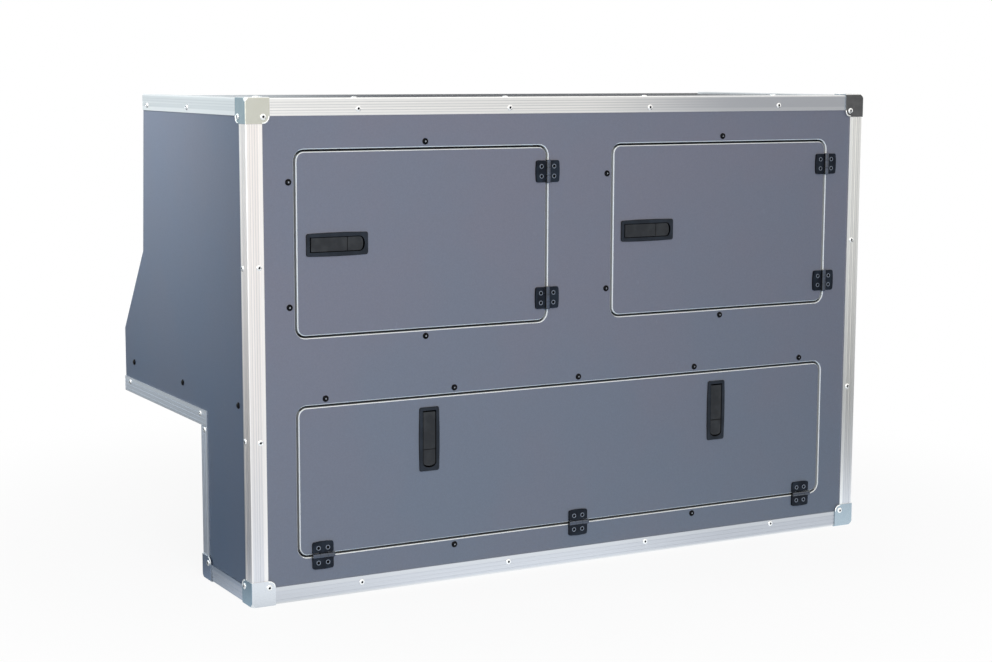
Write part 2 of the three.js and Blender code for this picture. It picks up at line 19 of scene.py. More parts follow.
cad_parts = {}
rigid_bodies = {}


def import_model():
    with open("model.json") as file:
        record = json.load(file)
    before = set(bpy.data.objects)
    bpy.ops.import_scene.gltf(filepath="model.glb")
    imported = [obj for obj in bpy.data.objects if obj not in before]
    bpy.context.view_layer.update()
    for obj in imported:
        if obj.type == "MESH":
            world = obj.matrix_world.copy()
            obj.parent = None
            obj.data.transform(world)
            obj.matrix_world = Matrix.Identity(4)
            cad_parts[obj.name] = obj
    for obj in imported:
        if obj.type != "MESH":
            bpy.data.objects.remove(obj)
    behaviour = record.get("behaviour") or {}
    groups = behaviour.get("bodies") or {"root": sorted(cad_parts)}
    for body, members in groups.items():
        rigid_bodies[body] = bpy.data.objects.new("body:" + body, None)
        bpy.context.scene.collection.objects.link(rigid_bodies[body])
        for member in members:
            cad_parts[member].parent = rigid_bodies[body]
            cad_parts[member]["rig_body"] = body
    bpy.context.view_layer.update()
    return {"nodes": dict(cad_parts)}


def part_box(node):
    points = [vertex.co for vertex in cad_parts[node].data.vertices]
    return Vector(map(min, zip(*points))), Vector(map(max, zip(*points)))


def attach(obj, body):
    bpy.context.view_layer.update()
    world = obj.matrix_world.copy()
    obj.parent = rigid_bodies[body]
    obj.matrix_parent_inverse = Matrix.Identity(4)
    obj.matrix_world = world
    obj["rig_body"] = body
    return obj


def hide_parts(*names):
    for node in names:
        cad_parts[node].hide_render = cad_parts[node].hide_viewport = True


LOG = logging.getLogger("cabinet")
MM = 0.001

Colour = tuple[float, float, float]
Triple = tuple[float, float, float]
Tones = tuple[Colour, Colour, Colour]
Mesh = bmesh.types.BMesh
Ring = list[bmesh.types.BMVert]
Station = tuple[float, float, bool]
Node = bpy.types.Node
Piece = bpy.types.Object
Socket = bpy.types.NodeSocket
Term = "Wire | Socket | float | tuple"


def linear(red: float, green: float, blue: float) -> Colour:
    """Turns a colour as it is seen on a screen into the linear one that shaders take.

    Args:
        red, green, blue: the colour's parts, from 0 to 255.

    Returns:
        The same colour with linear parts from 0 to 1.
    """
    parts = []
    for part in (red, green, blue):
        share = part / 255
        parts.append(share / 12.92 if share <= 0.04045 else ((share + 0.055) / 1.055) ** 2.4)
    return tuple(parts)


class Axis(Enum):
    """A direction of the cabinet, in which a board's faces look or a profile runs."""

    ACROSS = (1.0, 0.0, 0.0)
    REARWARD = (0.0, 1.0, 0.0)
    UPRIGHT = (0.0, 0.0, 1.0)

    def stretch(self, lengthwise: float, crosswise: float) -> Triple:
        """A texture's cells to the metre, few along this direction and many across it."""
        return tuple(lengthwise if part else crosswise for part in self.value)


class Wire:
    """A number socket that takes part in plain sums, each of which adds its Math node."""

    def __init__(self, bench: "Bench", socket: Socket) -> None:
        """Keeps the bench that new nodes go on and the socket the number comes from."""
        self.bench = bench
        self.socket = socket

    def math(self, operation: str, *terms: Term) -> "Wire":
        """The result of a new Math node on the terms given, its inputs in order."""
        node = self.bench.node("ShaderNodeMath", {"operation": operation}, dict(enumerate(terms)))
        return Wire(self.bench, node.outputs[0])

    def __add__(self, other: Term) -> "Wire":
        """The sum of this number and another."""
        return self.math("ADD", self, other)

    __radd__ = __add__

    def __sub__(self, other: Term) -> "Wire":
        """This number less another."""
        return self.math("SUBTRACT", self, other)

    def __rsub__(self, other: Term) -> "Wire":
        """Another number less this one."""
        return self.math("SUBTRACT", other, self)

    def __mul__(self, other: Term) -> "Wire":
        """The product of this number and another."""
        return self.math("MULTIPLY", self, other)

    __rmul__ = __mul__

    def __truediv__(self, other: Term) -> "Wire":
        """This number divided by another."""
        return self.math("DIVIDE", self, other)

    def __rtruediv__(self, other: Term) -> "Wire":
        """Another number divided by this one."""
        return self.math("DIVIDE", other, self)

    def over(self, level: float) -> "Wire":
        """One where this number is greater than the level, and nought elsewhere."""
        return self.math("GREATER_THAN", self, level)

    def size(self) -> "Wire":
        """This number without its sign."""
        return self.math("ABSOLUTE", self)

    def folded(self, peak: float) -> "Wire":
        """This number folded back and forth between nought and a peak."""
        return self.math("PINGPONG", self, peak)

    def ramp(self, low: float, high: float) -> "Wire":
        """A soft step from nought at one level of this number to one at another.

        Args:
            low: the level that gives nought.
            high: the level that gives one.

        Returns:
            The step's height.
        """
        node = self.bench.node(
            "ShaderNodeMapRange",
            {"interpolation_type": "SMOOTHSTEP"},
            {"Value": self, "From Min": low, "From Max": high},
        )
        return Wire(self.bench, node.outputs["Result"])


@dataclass(frozen=True)
class Grain:
    """A cloudy texture: cells to the metre, finer layers, and how strong each of these is."""

    counts: float | Triple
    detail: float = 2.0
    rough: float = 0.5


@dataclass(frozen=True)
class Rise:
    """How a texture or distance is used: it comes up between two levels, to a full share."""

    low: float
    high: float
    share: float = 1.0

    def of(self, texture: Wire) -> Wire:
        """The share at each place."""
        return texture.ramp(self.low, self.high) * self.share


class Bench:
    """The node tree of one material or sky while it is being laid out."""

    def __init__(self, tree: bpy.types.NodeTree) -> None:
        """Starts on an empty tree.

        Args:
            tree: the node tree of the material or sky.
        """
        self.tree = tree
        tree.nodes.clear()
        self._places: Node | None = None

    def node(self, kind: str, settings: dict | None = None, sockets: dict | None = None) -> Node:
        """Adds a node, its settings first and then its sockets.

        Args:
            kind: the node's type.
            settings: the node's own properties.
            sockets: values or links, by the socket's place, identifier or name.

        Returns:
            The new node.
        """
        made = self.tree.nodes.new(kind)
        for name, value in (settings or {}).items():
            setattr(made, name, value)
        for key, value in (sockets or {}).items():
            self._fill(self._socket(made.inputs, key), value)
        return made

    @staticmethod
    def _socket(sockets: bpy.types.bpy_prop_collection, key: int | str) -> Socket:
        """Finds a socket by its place, its identifier or its name.

        Args:
            sockets: a node's inputs or outputs.
            key: the socket's place, identifier or name.

        Returns:
            The socket.
        """
        if isinstance(key, int):
            return sockets[key]
        for socket in sockets:
            if socket.identifier == key:
                return socket
        return sockets[key]

    def _fill(self, socket: Socket, value: Term) -> None:
        """Links a socket or sets its value; a colour of three parts gets a full fourth one.

        Args:
            socket: the socket to fill.
            value: the number, vector, colour or link for it.
        """
        if isinstance(value, Wire):
            value = value.socket
        if isinstance(value, Socket):
            self.tree.links.new(value, socket)
        elif isinstance(value, tuple) and len(value) == 3 and socket.type == "RGBA":
            socket.default_value = (*value, 1.0)
        else:
            socket.default_value = value

    def places(self) -> Node:
        """The node that gives places and directions in the piece's own frame.

        Returns:
            The node, made on its first use.
        """
        if self._places is None:
            self._places = self.node("ShaderNodeTexCoord")
        return self._places

    def vector(self, operation: str, *terms: Term) -> Node:
        """Adds a Vector Math node on the terms given."""
        return self.node("ShaderNodeVectorMath", {"operation": operation}, dict(enumerate(terms)))

    def dot(self, source: str, way: Triple) -> Wire:
        """How far one of the places' outputs reaches along a way."""
        node = self.vector("DOT_PRODUCT", self.places().outputs[source], way)
        return Wire(self, node.outputs["Value"])

    def stretched(self, counts: float | Triple) -> Socket:
        """The place on the piece in cells of a texture, with so many of them to the metre."""
        each = counts if isinstance(counts, tuple) else (counts, counts, counts)
        return self.vector("MULTIPLY", self.places().outputs["Object"], each).outputs["Vector"]

    def grain(self, grain: Grain) -> Wire:
        """A cloudy texture from about 0.3 to 0.7 over the piece.

        Args:
            grain: the texture's cells and layers.

        Returns:
            The texture's level at each place.
        """
        sockets = {"Vector": self.stretched(grain.counts), "Scale": 1.0}
        sockets |= {"Detail": grain.detail, "Roughness": grain.rough}
        return Wire(self, self.node("ShaderNodeTexNoise", None, sockets).outputs["Fac"])

    def cells(self, count: float) -> Wire:
        """How far the place is from the middle of its cell, with so many cells to the metre."""
        sockets = {"Vector": self.stretched(count), "Scale": 1.0}
        return Wire(self, self.node("ShaderNodeTexVoronoi", None, sockets).outputs["Distance"])

    def facing(self, axis: Axis) -> Wire:
        """How squarely the surface faces along an axis: one along it, minus one against it."""
        return self.dot("Normal", axis.value)

    def looking(self, axis: Axis) -> Wire:
        """How much the surface looks along an axis, either way: one where it faces it squarely."""
        return self.facing(axis).size()

    def along(self, axis: Axis) -> Wire:
        """How far along an axis the place lies."""
        return self.dot("Object", axis.value)

    def rays(self) -> tuple[Wire, Wire]:
        """Tells by which kind of ray a place is looked at.

        Returns:
            One for rays from the camera, and one for rays mirrored or let through on their way.
        """
        path = self.node("ShaderNodeLightPath")
        seen = Wire(self, path.outputs["Is Camera Ray"])
        mirrored = Wire(self, path.outputs["Is Glossy Ray"])
        through = Wire(self, path.outputs["Is Transmission Ray"])
        return seen, mirrored.math("MAXIMUM", mirrored, through)

    def blend(self, share: Term, first: Term, second: Term) -> Socket:
        """Mixes two colours.

        Args:
            share: how much of the second there is.
            first: the colour at nought.
            second: the colour at one.

        Returns:
            The mixed colour.
        """
        node = self.node(
            "ShaderNodeMix",
            {"data_type": "RGBA"},
            {"Factor_Float": share, "A_Color": first, "B_Color": second},
        )
        return self._socket(node.outputs, "Result_Color")

    def layers(self, base: Term, *coats: tuple[Term, Term]) -> Term:
        """Lays colours over a base one after another.

        Args:
            base: the colour underneath.
            *coats: the share of each further colour, and the colour.

        Returns:
            The colour that comes out on top.
        """
        for share, colour in coats:
            base = self.blend(share, base, colour)
        return base

    def bump(self, height: Term, rise: float, strength: float = 1.0) -> Socket:
        """The surface's direction, bent by a height of which one stands up by the rise."""
        sockets = {"Height": height, "Distance": rise, "Strength": strength}
        return self.node("ShaderNodeBump", None, sockets).outputs["Normal"]

    def surface(self, sockets: dict) -> Socket:
        """A plain physical surface with the sockets given."""
        return self.node("ShaderNodeBsdfPrincipled", None, sockets).outputs["BSDF"]


class Finish:
    """What a piece is dressed in; each kind lays out its own nodes.

    A "share" says how much of a further colour there is where it is full, and a "rise" also
    between which levels of a texture it comes up.
    """

    kind: ClassVar[str]
    label: str

    def title(self) -> str:
        """The material's name."""
        return f"{self.kind}_{self.label}"

    def shader(self, bench: Bench) -> Socket:
        """Lays the finish out on a bench."""
        raise NotImplementedError

    def material(self) -> bpy.types.Material:
        """Makes the finish's material on its first use.

        Returns:
            The material.
        """
        made = bpy.data.materials.get(self.title())
        if made is None:
            made = bpy.data.materials.new(self.title())
            made.use_nodes = True
            bench = Bench(made.node_tree)
            shader = self.shader(bench)
            bench.node("ShaderNodeOutputMaterial", None, {"Surface": shader})
        return made

    def dress(self, *pieces: Piece) -> None:
        """Puts the finish in every material slot of the pieces.

        Args:
            *pieces: the pieces, with or without slots of their own.
        """
        for piece in pieces:
            if not piece.material_slots:
                piece.data.materials.append(self.material())
            for slot in piece.material_slots:
                slot.material = self.material()
            LOG.info("%s: %s", piece.name, self.title())


@dataclass(frozen=True)
class SlateLaminate(Finish):
    """Slate laminate with a fine emboss on a pale layered core, which shows on every cut edge."""

    facing: Axis
    slate: Colour = linear(115, 114, 124)
    cool_tone_and_bounce: Colour = linear(107, 115, 127)
    flecked: Colour = linear(86, 91, 104)
    pored: Colour = linear(140, 146, 160)
    scuffed: Colour = linear(160, 165, 176)
    core: Colour = linear(238, 240, 239)
    core_line: Colour = linear(212, 210, 202)
    core_shade: Colour = linear(158, 160, 164)
    side_cut_shade: Colour = linear(170, 171, 170)
    level_cut_shade: Colour = linear(66, 68, 70)
    veneer: float = 1.5 * MM
    polish: float = 0.0
    polish_rough: float = 0.06
    gloss: float = 0.4
    folded: bool = False
    face_from: float = 0.92
    cut_from: float = 0.35
    cut_least: float = 0.75
    cut_fibre: float = 0.3
    level_from: float = 0.7
    right_facing_from: float = 0.3
    right_shade_share: float = 0.9
    clouds: Grain = Grain(5.0, 3.0)
    pores: Grain = Grain(1500.0, 2.0, 0.6)
    flecks: Grain = Grain(420.0, 3.0, 0.7)
    scuffs: Grain = Grain((30.0, 55.0, 18.0), 5.0, 0.65)
    fibres: Grain = Grain(260.0, 4.0, 0.6)
    cloud_rise: Rise = Rise(0.35, 0.65, 0.35)
    height_rise: Rise = Rise(-0.1, 0.75)
    foot_bounce_share: float = 0.65
    fleck_rise: Rise = Rise(0.36, 0.64, 0.16)
    pore_rise: Rise = Rise(0.55, 0.75, 0.22)
    scuff_rise: Rise = Rise(0.66, 0.78, 0.10)
    ply_rise: Rise = Rise(0.55, 0.95, 0.55)
    fibre_rise: Rise = Rise(0.45, 0.7, 0.25)
    rough: float = 0.46
    pore_rough: float = 0.16
    edge_rough: float = 0.2
    pore_height: float = 0.6
    fleck_height: float = 0.4
    bump_rise: float = 0.12 * MM
    bump_share: float = 0.45

    def title(self) -> str:
        """The material's name."""
        form = "folded" if self.folded else self.facing.name.lower()
        return f"slate_laminate_{form}_{round(100 * self.polish)}"

    def _shade(self, bench: Bench, pore: Wire, fleck: Wire) -> Socket:
        """Lays out the face's colour: faint clouds, a cooler tint to the foot painted as the
        floor's bounce light, flecks, pores, scuffs.

        Args:
            bench: the material's bench.
            pore: the texture of the emboss.
            fleck: the texture of the flecks.

        Returns:
            The face's colour.
        """
        cloud, scuff = bench.grain(self.clouds), bench.grain(self.scuffs)
        # painted light: the face grows cooler towards the foot, for the blue bounce light from the
        # floor
        low = 1 - self.height_rise.of(bench.along(Axis.UPRIGHT))
        return bench.layers(
            self.slate,
            (self.cloud_rise.of(cloud) + low * self.foot_bounce_share, self.cool_tone_and_bounce),
            (self.fleck_rise.of(fleck), self.flecked),
            (self.pore_rise.of(pore), self.pored),
            (self.scuff_rise.of(scuff), self.scuffed),
        )

    def _edge(self, bench: Bench, squareness: Wire) -> Socket:
        """Lays out the colour of the edges: the core's plies on the bevels, painted shade on the
        edges that face right, and saw cuts painted darker for the shade inside the gaps.

        Args:
            bench: the material's bench.
            squareness: how squarely the surface looks the way that the face does.

        Returns:
            The edges' colour.
        """
        ply = (bench.along(self.facing) / self.veneer).folded(1.0)
        fibre = bench.grain(self.fibres)
        # painted shade: edges that face right take core_shade, as they turn away from the light
        right_facing = bench.facing(Axis.ACROSS).over(self.right_facing_from)
        level = bench.looking(Axis.UPRIGHT).over(self.level_from)
        # painted shade: saw-cut walls darker than the core for the shade in the gaps, the level
        # walls darkest
        cut = 1 - squareness.over(self.cut_from)
        cut = cut * (self.cut_least + fibre * self.cut_fibre)
        return bench.layers(
            self.core,
            (self.ply_rise.of(ply), self.core_line),
            (self.fibre_rise.of(fibre), self.core_line),
            (right_facing * self.right_shade_share, self.core_shade),
            (cut, bench.blend(level, self.side_cut_shade, self.level_cut_shade)),
        )

    def shader(self, bench: Bench) -> Socket:
        """Lays the finish out: the embossed face, and the core on the edges.

        Args:
            bench: the material's bench.

        Returns:
            The finished surface.
        """
        along = bench.looking(Axis.ACROSS if self.folded else self.facing)
        squareness = 1 - along if self.folded else along
        face = squareness.over(self.face_from)
        pore, fleck = bench.grain(self.pores), bench.grain(self.flecks)
        shade, edge = self._shade(bench, pore, fleck), self._edge(bench, squareness)
        height = pore * self.pore_height + fleck * self.fleck_height
        return bench.surface(
            {
                "Base Color": bench.blend(face, edge, shade),
                "Roughness": self.rough + pore * self.pore_rough + (1 - face) * self.edge_rough,
                "Specular IOR Level": self.gloss,
                "Coat Weight": self.polish,
                "Coat Roughness": self.polish_rough,
                "Normal": bench.bump(height, self.bump_rise, self.bump_share),
            }
        )


@dataclass(frozen=True)
class SealedBirch(Finish):
    """Bare sanded plywood, its face towards the door painted black as the shade deep in the gaps
    round the door.
    """

    facing: Axis
    run: Axis
    pale: Colour = linear(224, 206, 172)
    dark: Colour = linear(188, 160, 118)
    gap_shade_black: Colour = linear(24, 24, 27)
    gap_shade_fleck: Colour = linear(40, 40, 43)
    veneer: float = 1.5 * MM
    figure_counts: tuple[float, float] = (3.0, 60.0)
    figure_layers: tuple[float, float] = (4.0, 0.6)
    fibre_counts: tuple[float, float] = (30.0, 1200.0)
    face_from: float = 0.9
    figure_rise: Rise = Rise(0.35, 0.7, 0.6)
    fibre_rise: Rise = Rise(0.5, 0.75, 0.25)
    ply_rise: Rise = Rise(0.5, 0.9, 0.7)
    gap_shade_fleck_rise: Rise = Rise(0.6, 0.8, 0.2)
    rough: float = 0.58
    fibre_rough: float = 0.2
    bump_rise: float = 0.08 * MM
    bump_share: float = 0.5

    def title(self) -> str:
        """The material's name."""
        return f"sealed_birch_{self.facing.name.lower()}_{self.run.name.lower()}"

    def shader(self, bench: Bench) -> Socket:
        """Lays the finish out: figure stretched along the run, fine fibre, layered edges, and black
        painted shade on the face towards the door.

        Args:
            bench: the material's bench.

        Returns:
            The finished surface.
        """
        face = bench.looking(self.facing).over(self.face_from)
        figure_counts = self.run.stretch(*self.figure_counts)
        figure = bench.grain(Grain(figure_counts, *self.figure_layers))
        fibre = bench.grain(Grain(self.run.stretch(*self.fibre_counts)))
        ply = (bench.along(self.facing) / self.veneer).folded(1.0)
        wood = bench.layers(
            self.pale,
            (self.figure_rise.of(figure), self.dark),
            (self.fibre_rise.of(fibre), self.dark),
        )
        edge = bench.blend(self.ply_rise.of(ply), self.pale, self.dark)
        # painted shade: the face towards the door is black, for the shade deep in the door gaps
        outer = (0 - bench.facing(self.facing)).over(self.face_from)
        bare = bench.blend(face, edge, wood)
        painted = bench.blend(self.gap_shade_fleck_rise.of(fibre), self.gap_shade_black, self.gap_shade_fleck)
        return bench.surface(
            {
                "Base Color": bench.blend(outer, bare, painted),
                "Roughness": self.rough + fibre * self.fibre_rough,
                "Normal": bench.bump(fibre, self.bump_rise, self.bump_share),
            }
        )


@dataclass(frozen=True)
class SatinAluminium(Finish):
    """Natural anodised angle with draw lines along its run, with painted highlights on its lips and
    outer edge.
    """

    kind = "satin_aluminium"
    label: str
    run: Axis
    corner: Triple
    light: Colour = linear(248, 246, 243)
    dim: Colour = linear(231, 230, 228)
    lip_highlight: Colour = linear(250, 249, 247)
    groove_shade_tone: Colour = linear(172, 174, 178)
    cool_tone_and_bounce: Colour = linear(206, 210, 219)
    groove_pitch: float = 4.6 * MM
    right_shade: float = 0.0
    groove_shade_share: float = 0.2
    right_shade_tone: Colour = linear(184, 186, 191)
    marked: Colour = linear(176, 178, 182)
    edge_highlight_width: float = 2.6 * MM
    lip_start: float = 22.6 * MM
    soft_step: float = 0.8 * MM
    line_counts: tuple[float, float] = (2.5, 1500.0)
    line_layers: tuple[float, float] = (2.0, 0.6)
    band_counts: tuple[float, float] = (1.2, 260.0)
    clouds: Grain = Grain(9.0, 3.0)
    marks: Grain = Grain(160.0, 4.0, 0.7)
    line_rise: Rise = Rise(0.3, 0.7, 0.5)
    band_rise: Rise = Rise(0.35, 0.65, 0.5)
    groove_rise: Rise = Rise(0.25, 0.44)
    groove_least: float = 0.4
    groove_banding: float = 1.1
    groove_walls: Rise = Rise(0.44, 0.27)
    height_rise: Rise = Rise(0.0, 0.36)
    foot_bounce_share: float = 0.6
    right_shade_rise: Rise = Rise(-0.02, 0.38)
    mark_rise: Rise = Rise(0.68, 0.76)
    mark_share: float = 0.25
    edge_highlight_share: float = 0.6
    lip_share: float = 0.75
    lip_loss: float = 0.6
    rough: float = 0.27
    line_rough: float = 0.12
    cloud_rough: float = 0.08
    mark_rough: float = 0.1
    line_height: float = 0.3
    bump_rise: float = 0.05 * MM
    bump_share: float = 0.4

    def from_corner(self, bench: Bench) -> Wire:
        """How far across a flange the place lies from the angle's outer corner.

        Args:
            bench: the material's bench.

        Returns:
            The distance in metres.
        """
        reaches = []
        for axis, place in zip(Axis, self.corner):
            if axis is not self.run:
                along = bench.along(axis)
                along = along.size() if axis is Axis.ACROSS else along
                reaches.append((along - place).size())
        return reaches[0].math("MAXIMUM", *reaches)

    def shader(self, bench: Bench) -> Socket:
        """Lays the finish out: draw lines, soft clouds, sparse handling marks, and painted shade,
        highlights and reflections.

        Args:
            bench: the material's bench.

        Returns:
            The finished surface.
        """
        draw = bench.grain(Grain(self.run.stretch(*self.line_counts), *self.line_layers))
        band = bench.grain(Grain(self.run.stretch(*self.band_counts)))
        cloud = bench.grain(self.clouds)
        mark = self.mark_rise.of(bench.grain(self.marks))
        across = self.from_corner(bench)
        row = (across / self.groove_pitch).folded(0.5)
        depth = self.groove_least + band * self.groove_banding
        # painted reflection: cooler towards the foot, where the metal mirrors the shaded floor
        low = 1 - self.height_rise.of(bench.along(Axis.UPRIGHT))
        # painted highlight: the inner lip and the outer edge of each flange are paler
        lip_highlight = across.ramp(self.lip_start, self.lip_start + self.soft_step)
        lip_highlight = lip_highlight * (self.lip_share - self.lip_loss * self.right_shade)
        edge = 1 - across.ramp(self.edge_highlight_width, self.edge_highlight_width + self.soft_step)
        tone = bench.layers(
            self.dim,
            (self.line_rise.of(draw) + self.band_rise.of(band), self.light),
            # painted shade: a darker tone in every groove row
            (self.groove_rise.of(row) * depth * self.groove_shade_share, self.groove_shade_tone),
            (low * self.foot_bounce_share, self.cool_tone_and_bounce),
            # painted reflection: darker towards the right, where the metal mirrors the dim right of
            # the room
            (self.right_shade_rise.of(bench.along(Axis.ACROSS)) * self.right_shade, self.right_shade_tone),
            (lip_highlight + edge * self.edge_highlight_share, self.lip_highlight),
            (mark * self.mark_share, self.marked),
        )
        height = draw * self.line_height + self.groove_walls.of(row)
        rough = self.rough + draw * self.line_rough + cloud * self.cloud_rough
        return bench.surface(
            {
                "Base Color": tone,
                "Metallic": 1.0,
                "Roughness": rough + mark * self.mark_rough,
                "Normal": bench.bump(height, self.bump_rise, self.bump_share),
            }
        )


@dataclass(frozen=True)
class ZincPlate(Finish):
    """Bright zinc plate, with a tone painted on the front, side and top of each cap for the light
    and reflection that each face gets.
    """

    kind = "zinc_plate"
    label: str
    front: Colour
    side: Colour
    top: Colour = linear(240, 241, 240)
    clouded: Colour = linear(236, 236, 232)
    crystalline: Colour = linear(150, 156, 160)
    crystal_count: float = 260.0
    clouds: Grain = Grain(45.0, 3.0)
    hairs: Grain = Grain((1400.0, 1400.0, 60.0))
    face_rise: Rise = Rise(0.6, 0.8)
    cloud_rise: Rise = Rise(0.35, 0.65, 0.05)
    crystal_rise: Rise = Rise(0.2, 0.8, 0.03)
    rough: float = 0.22
    cloud_rough: float = 0.04
    hair_rough: float = 0.04
    crystal_height: float = 0.3
    hair_height: float = 0.7
    bump_rise: float = 0.008 * MM
    bump_share: float = 0.3

    def shader(self, bench: Bench) -> Socket:
        """Lays the finish out: painted light tones for each face, faint crystals, clouds and fine
        scratches.

        Args:
            bench: the material's bench.

        Returns:
            The finished surface.
        """
        fore = self.face_rise.of(bench.looking(Axis.REARWARD))
        flank_shade = self.face_rise.of(bench.looking(Axis.ACROSS))
        crystal = bench.cells(self.crystal_count)
        cloud, hair = bench.grain(self.clouds), bench.grain(self.hairs)
        # painted light: the top, side and front faces take their own tones
        tone = bench.layers(
            self.top,
            (flank_shade, self.side),
            (fore, self.front),
            (self.cloud_rise.of(cloud), self.clouded),
            (self.crystal_rise.of(crystal), self.crystalline),
        )
        height = crystal * self.crystal_height + hair * self.hair_height
        return bench.surface(
            {
                "Base Color": tone,
                "Metallic": 1.0,
                "Roughness": self.rough + cloud * self.cloud_rough + hair * self.hair_rough,
                "Normal": bench.bump(height, self.bump_rise, self.bump_share),
            }
        )


@dataclass(frozen=True)
class TurnedMetal(Finish):
    """Metal of a rivet, bolt or screw, bright or blackened."""

    kind = "turned"
    label: str
    tone: Colour
    wear: Colour
    shine: float = 0.22
    metal: float = 1.0
    gloss: float = 0.5
    tooling: Grain = Grain(2200.0)
    rubs: Grain = Grain(500.0, 3.0)
    rub_rise: Rise = Rise(0.52, 0.72, 0.5)
    tool_rough: float = 0.12
    bump_rise: float = 0.02 * MM
    bump_share: float = 0.4

    def shader(self, bench: Bench) -> Socket:
        """Lays the finish out: a fine tool grain with rubbed spots.

        Args:
            bench: the material's bench.

        Returns:
            The finished surface.
        """
        tool, rubbed = bench.grain(self.tooling), bench.grain(self.rubs)
        return bench.surface(
            {
                "Base Color": bench.blend(self.rub_rise.of(rubbed), self.tone, self.wear),
                "Metallic": self.metal,
                "Specular IOR Level": self.gloss,
                "Roughness": self.shine + tool * self.tool_rough,
                "Normal": bench.bump(tool, self.bump_rise, self.bump_share),
            }
        )


@dataclass(frozen=True)
class BlackMoulding(Finish):
    """Black filled plastic with a pebbled grain, a shade greyer where it is handled."""

    kind = "black_moulding"
    label: str
    tone: Colour
    rubbed: Colour
    sheen: float = 0.25
    rough: float = 0.36
    flank_shade: Colour = linear(12, 13, 16)
    flank_shade_from: float = 0.3
    flank_shade_to: float = 0.8
    pebbles: Grain = Grain(1800.0, 2.0, 0.6)
    clouds: Grain = Grain(55.0, 3.0)
    cloud_rise: Rise = Rise(0.35, 0.7, 0.7)
    pebble_rise: Rise = Rise(0.6, 0.8, 0.3)
    pebble_rough: float = 0.22
    bump_rise: float = 0.06 * MM
    bump_share: float = 0.5

    def shader(self, bench: Bench) -> Socket:
        """Lays the finish out: pebbled grain, rubbed clouds, and black painted shade on edges and
        flanks.

        Args:
            bench: the material's bench.

        Returns:
            The finished surface.
        """
        pebble, cloud = bench.grain(self.pebbles), bench.grain(self.clouds)
        tone = bench.layers(
            self.tone,
            (self.cloud_rise.of(cloud), self.rubbed),
            (self.pebble_rise.of(pebble), self.rubbed),
        )
        # painted shade: faces that turn away from the front go black, as the dark outline round
        # each part
        fore = bench.looking(Axis.REARWARD).ramp(self.flank_shade_from, self.flank_shade_to)
        return bench.surface(
            {
                "Base Color": bench.blend(fore, self.flank_shade, tone),
                "Roughness": self.rough + pebble * self.pebble_rough,
                "Specular IOR Level": self.sheen,
                "Normal": bench.bump(pebble, self.bump_rise, self.bump_share),
            }
        )


@dataclass(frozen=True)
class Seat:
    """A place on the cabinet where a head sits, and the direction it looks in."""

    place: Vector
    outward: Vector


def join_rings(mesh: Mesh, lower: Ring, upper: Ring, slot: int = 0) -> None:
    """Joins two rings of points by smooth faces.

    Args:
        mesh: the mesh that takes them.
        lower, upper: the rings, with as many points each.
        slot: the material slot of the faces.
    """
    for step, foot in enumerate(lower):
        after = (step + 1) % len(lower)
        face = mesh.faces.new((foot, lower[after], upper[after], upper[step]))
        face.smooth = True
        face.material_index = slot


def link(name: str, data: bpy.types.ID) -> Piece:
    """Adds an object to the scene.

    Args:
        name: the object's name.
        data: the mesh, lamp or camera that it holds.

    Returns:
        The new object.
    """
    piece = bpy.data.objects.new(name, data)
    bpy.context.scene.collection.objects.link(piece)
    return piece


def link_mesh(name: str, mesh: Mesh, *finishes: Finish) -> Piece:
    """Turns a mesh under construction into an object of the scene.

    Args:
        name: the object's name.
        mesh: the mesh, which is used up.
        *finishes: one for each material slot.

    Returns:
        The new object.
    """
    data = bpy.data.meshes.new(name)
    mesh.normal_update()
    mesh.to_mesh(data)
    mesh.free()
    for finish in finishes:
        data.materials.append(finish.material())
    return link(name, data)


@dataclass(frozen=True)
class TurnedHead:
    """A lathe-turned head: outline points run from its sunken rim to its middle, in millimetres."""

    outline: tuple[tuple[float, float], ...]
    key_reach: float = 0.0
    key_depth: float = 0.0
    key_lip: float = 0.05
    key_taper: float = 0.96
    dark_from: float = 0.0
    steps: int = 24
    turn_step: float = 2.4

    def _ring(self, mesh: Mesh, seat: Seat, turn: float, station: Station) -> Ring:
        """Adds one ring of points about the head's axis.

        Args:
            mesh: the mesh that takes it.
            seat: where the head sits.
            turn: how far the head is turned about its axis.
            station: the ring's reach and rise in millimetres, and whether it is six-sided.

        Returns:
            The ring's points in order.
        """
        reach, rise, hexagon = station
        across = seat.outward.orthogonal().normalized()
        beside = seat.outward.cross(across)
        ring = []
        for step in range(self.steps):
            angle = 2 * math.pi * step / self.steps + turn
            radius = reach
            if hexagon:
                within = (angle - turn) % (math.pi / 3) - math.pi / 6
                radius = reach * math.cos(math.pi / 6) / math.cos(within)
            offset = across * math.cos(angle) * radius + beside * math.sin(angle) * radius
            ring.append(mesh.verts.new(seat.place + (offset + seat.outward * rise) * MM))
        return ring

    def add(self, mesh: Mesh, seat: Seat, turn: float) -> None:
        """Adds the head, closed underneath, at a seat.

        Args:
            mesh: the mesh that takes it.
            seat: where it sits.
            turn: how far it is turned about its own axis, in radians.
        """
        stations = [(reach, rise, False) for reach, rise in self.outline]
        if self.key_reach:
            top = self.outline[-1][1]
            stations.append((self.key_reach, top - self.key_lip, True))
            stations.append((self.key_reach * self.key_taper, top - self.key_depth, True))
        rings = [self._ring(mesh, seat, turn, station) for station in stations]
        mesh.faces.new(list(reversed(rings[0])))
        for (reach, _, _), lower, upper in zip(stations, rings, rings[1:]):
            join_rings(mesh, lower, upper, 1 if reach <= self.dark_from else 0)
        cap = mesh.faces.new(rings[-1])
        cap.material_index = 1 if self.dark_from else 0

    def place_all(self, name: str, seats: list[Seat], *finishes: Finish) -> Piece:
        """Builds one object with the head at every seat.

        Args:
            name: the object's name.
            seats: where the heads sit.
            *finishes: the head's finish, and that of its middle.

        Returns:
            The object, linked to the scene.
        """
        mesh = bmesh.new()
        for count, seat in enumerate(seats):
            self.add(mesh, seat, self.turn_step * count)
        return link_mesh(name, mesh, *finishes)


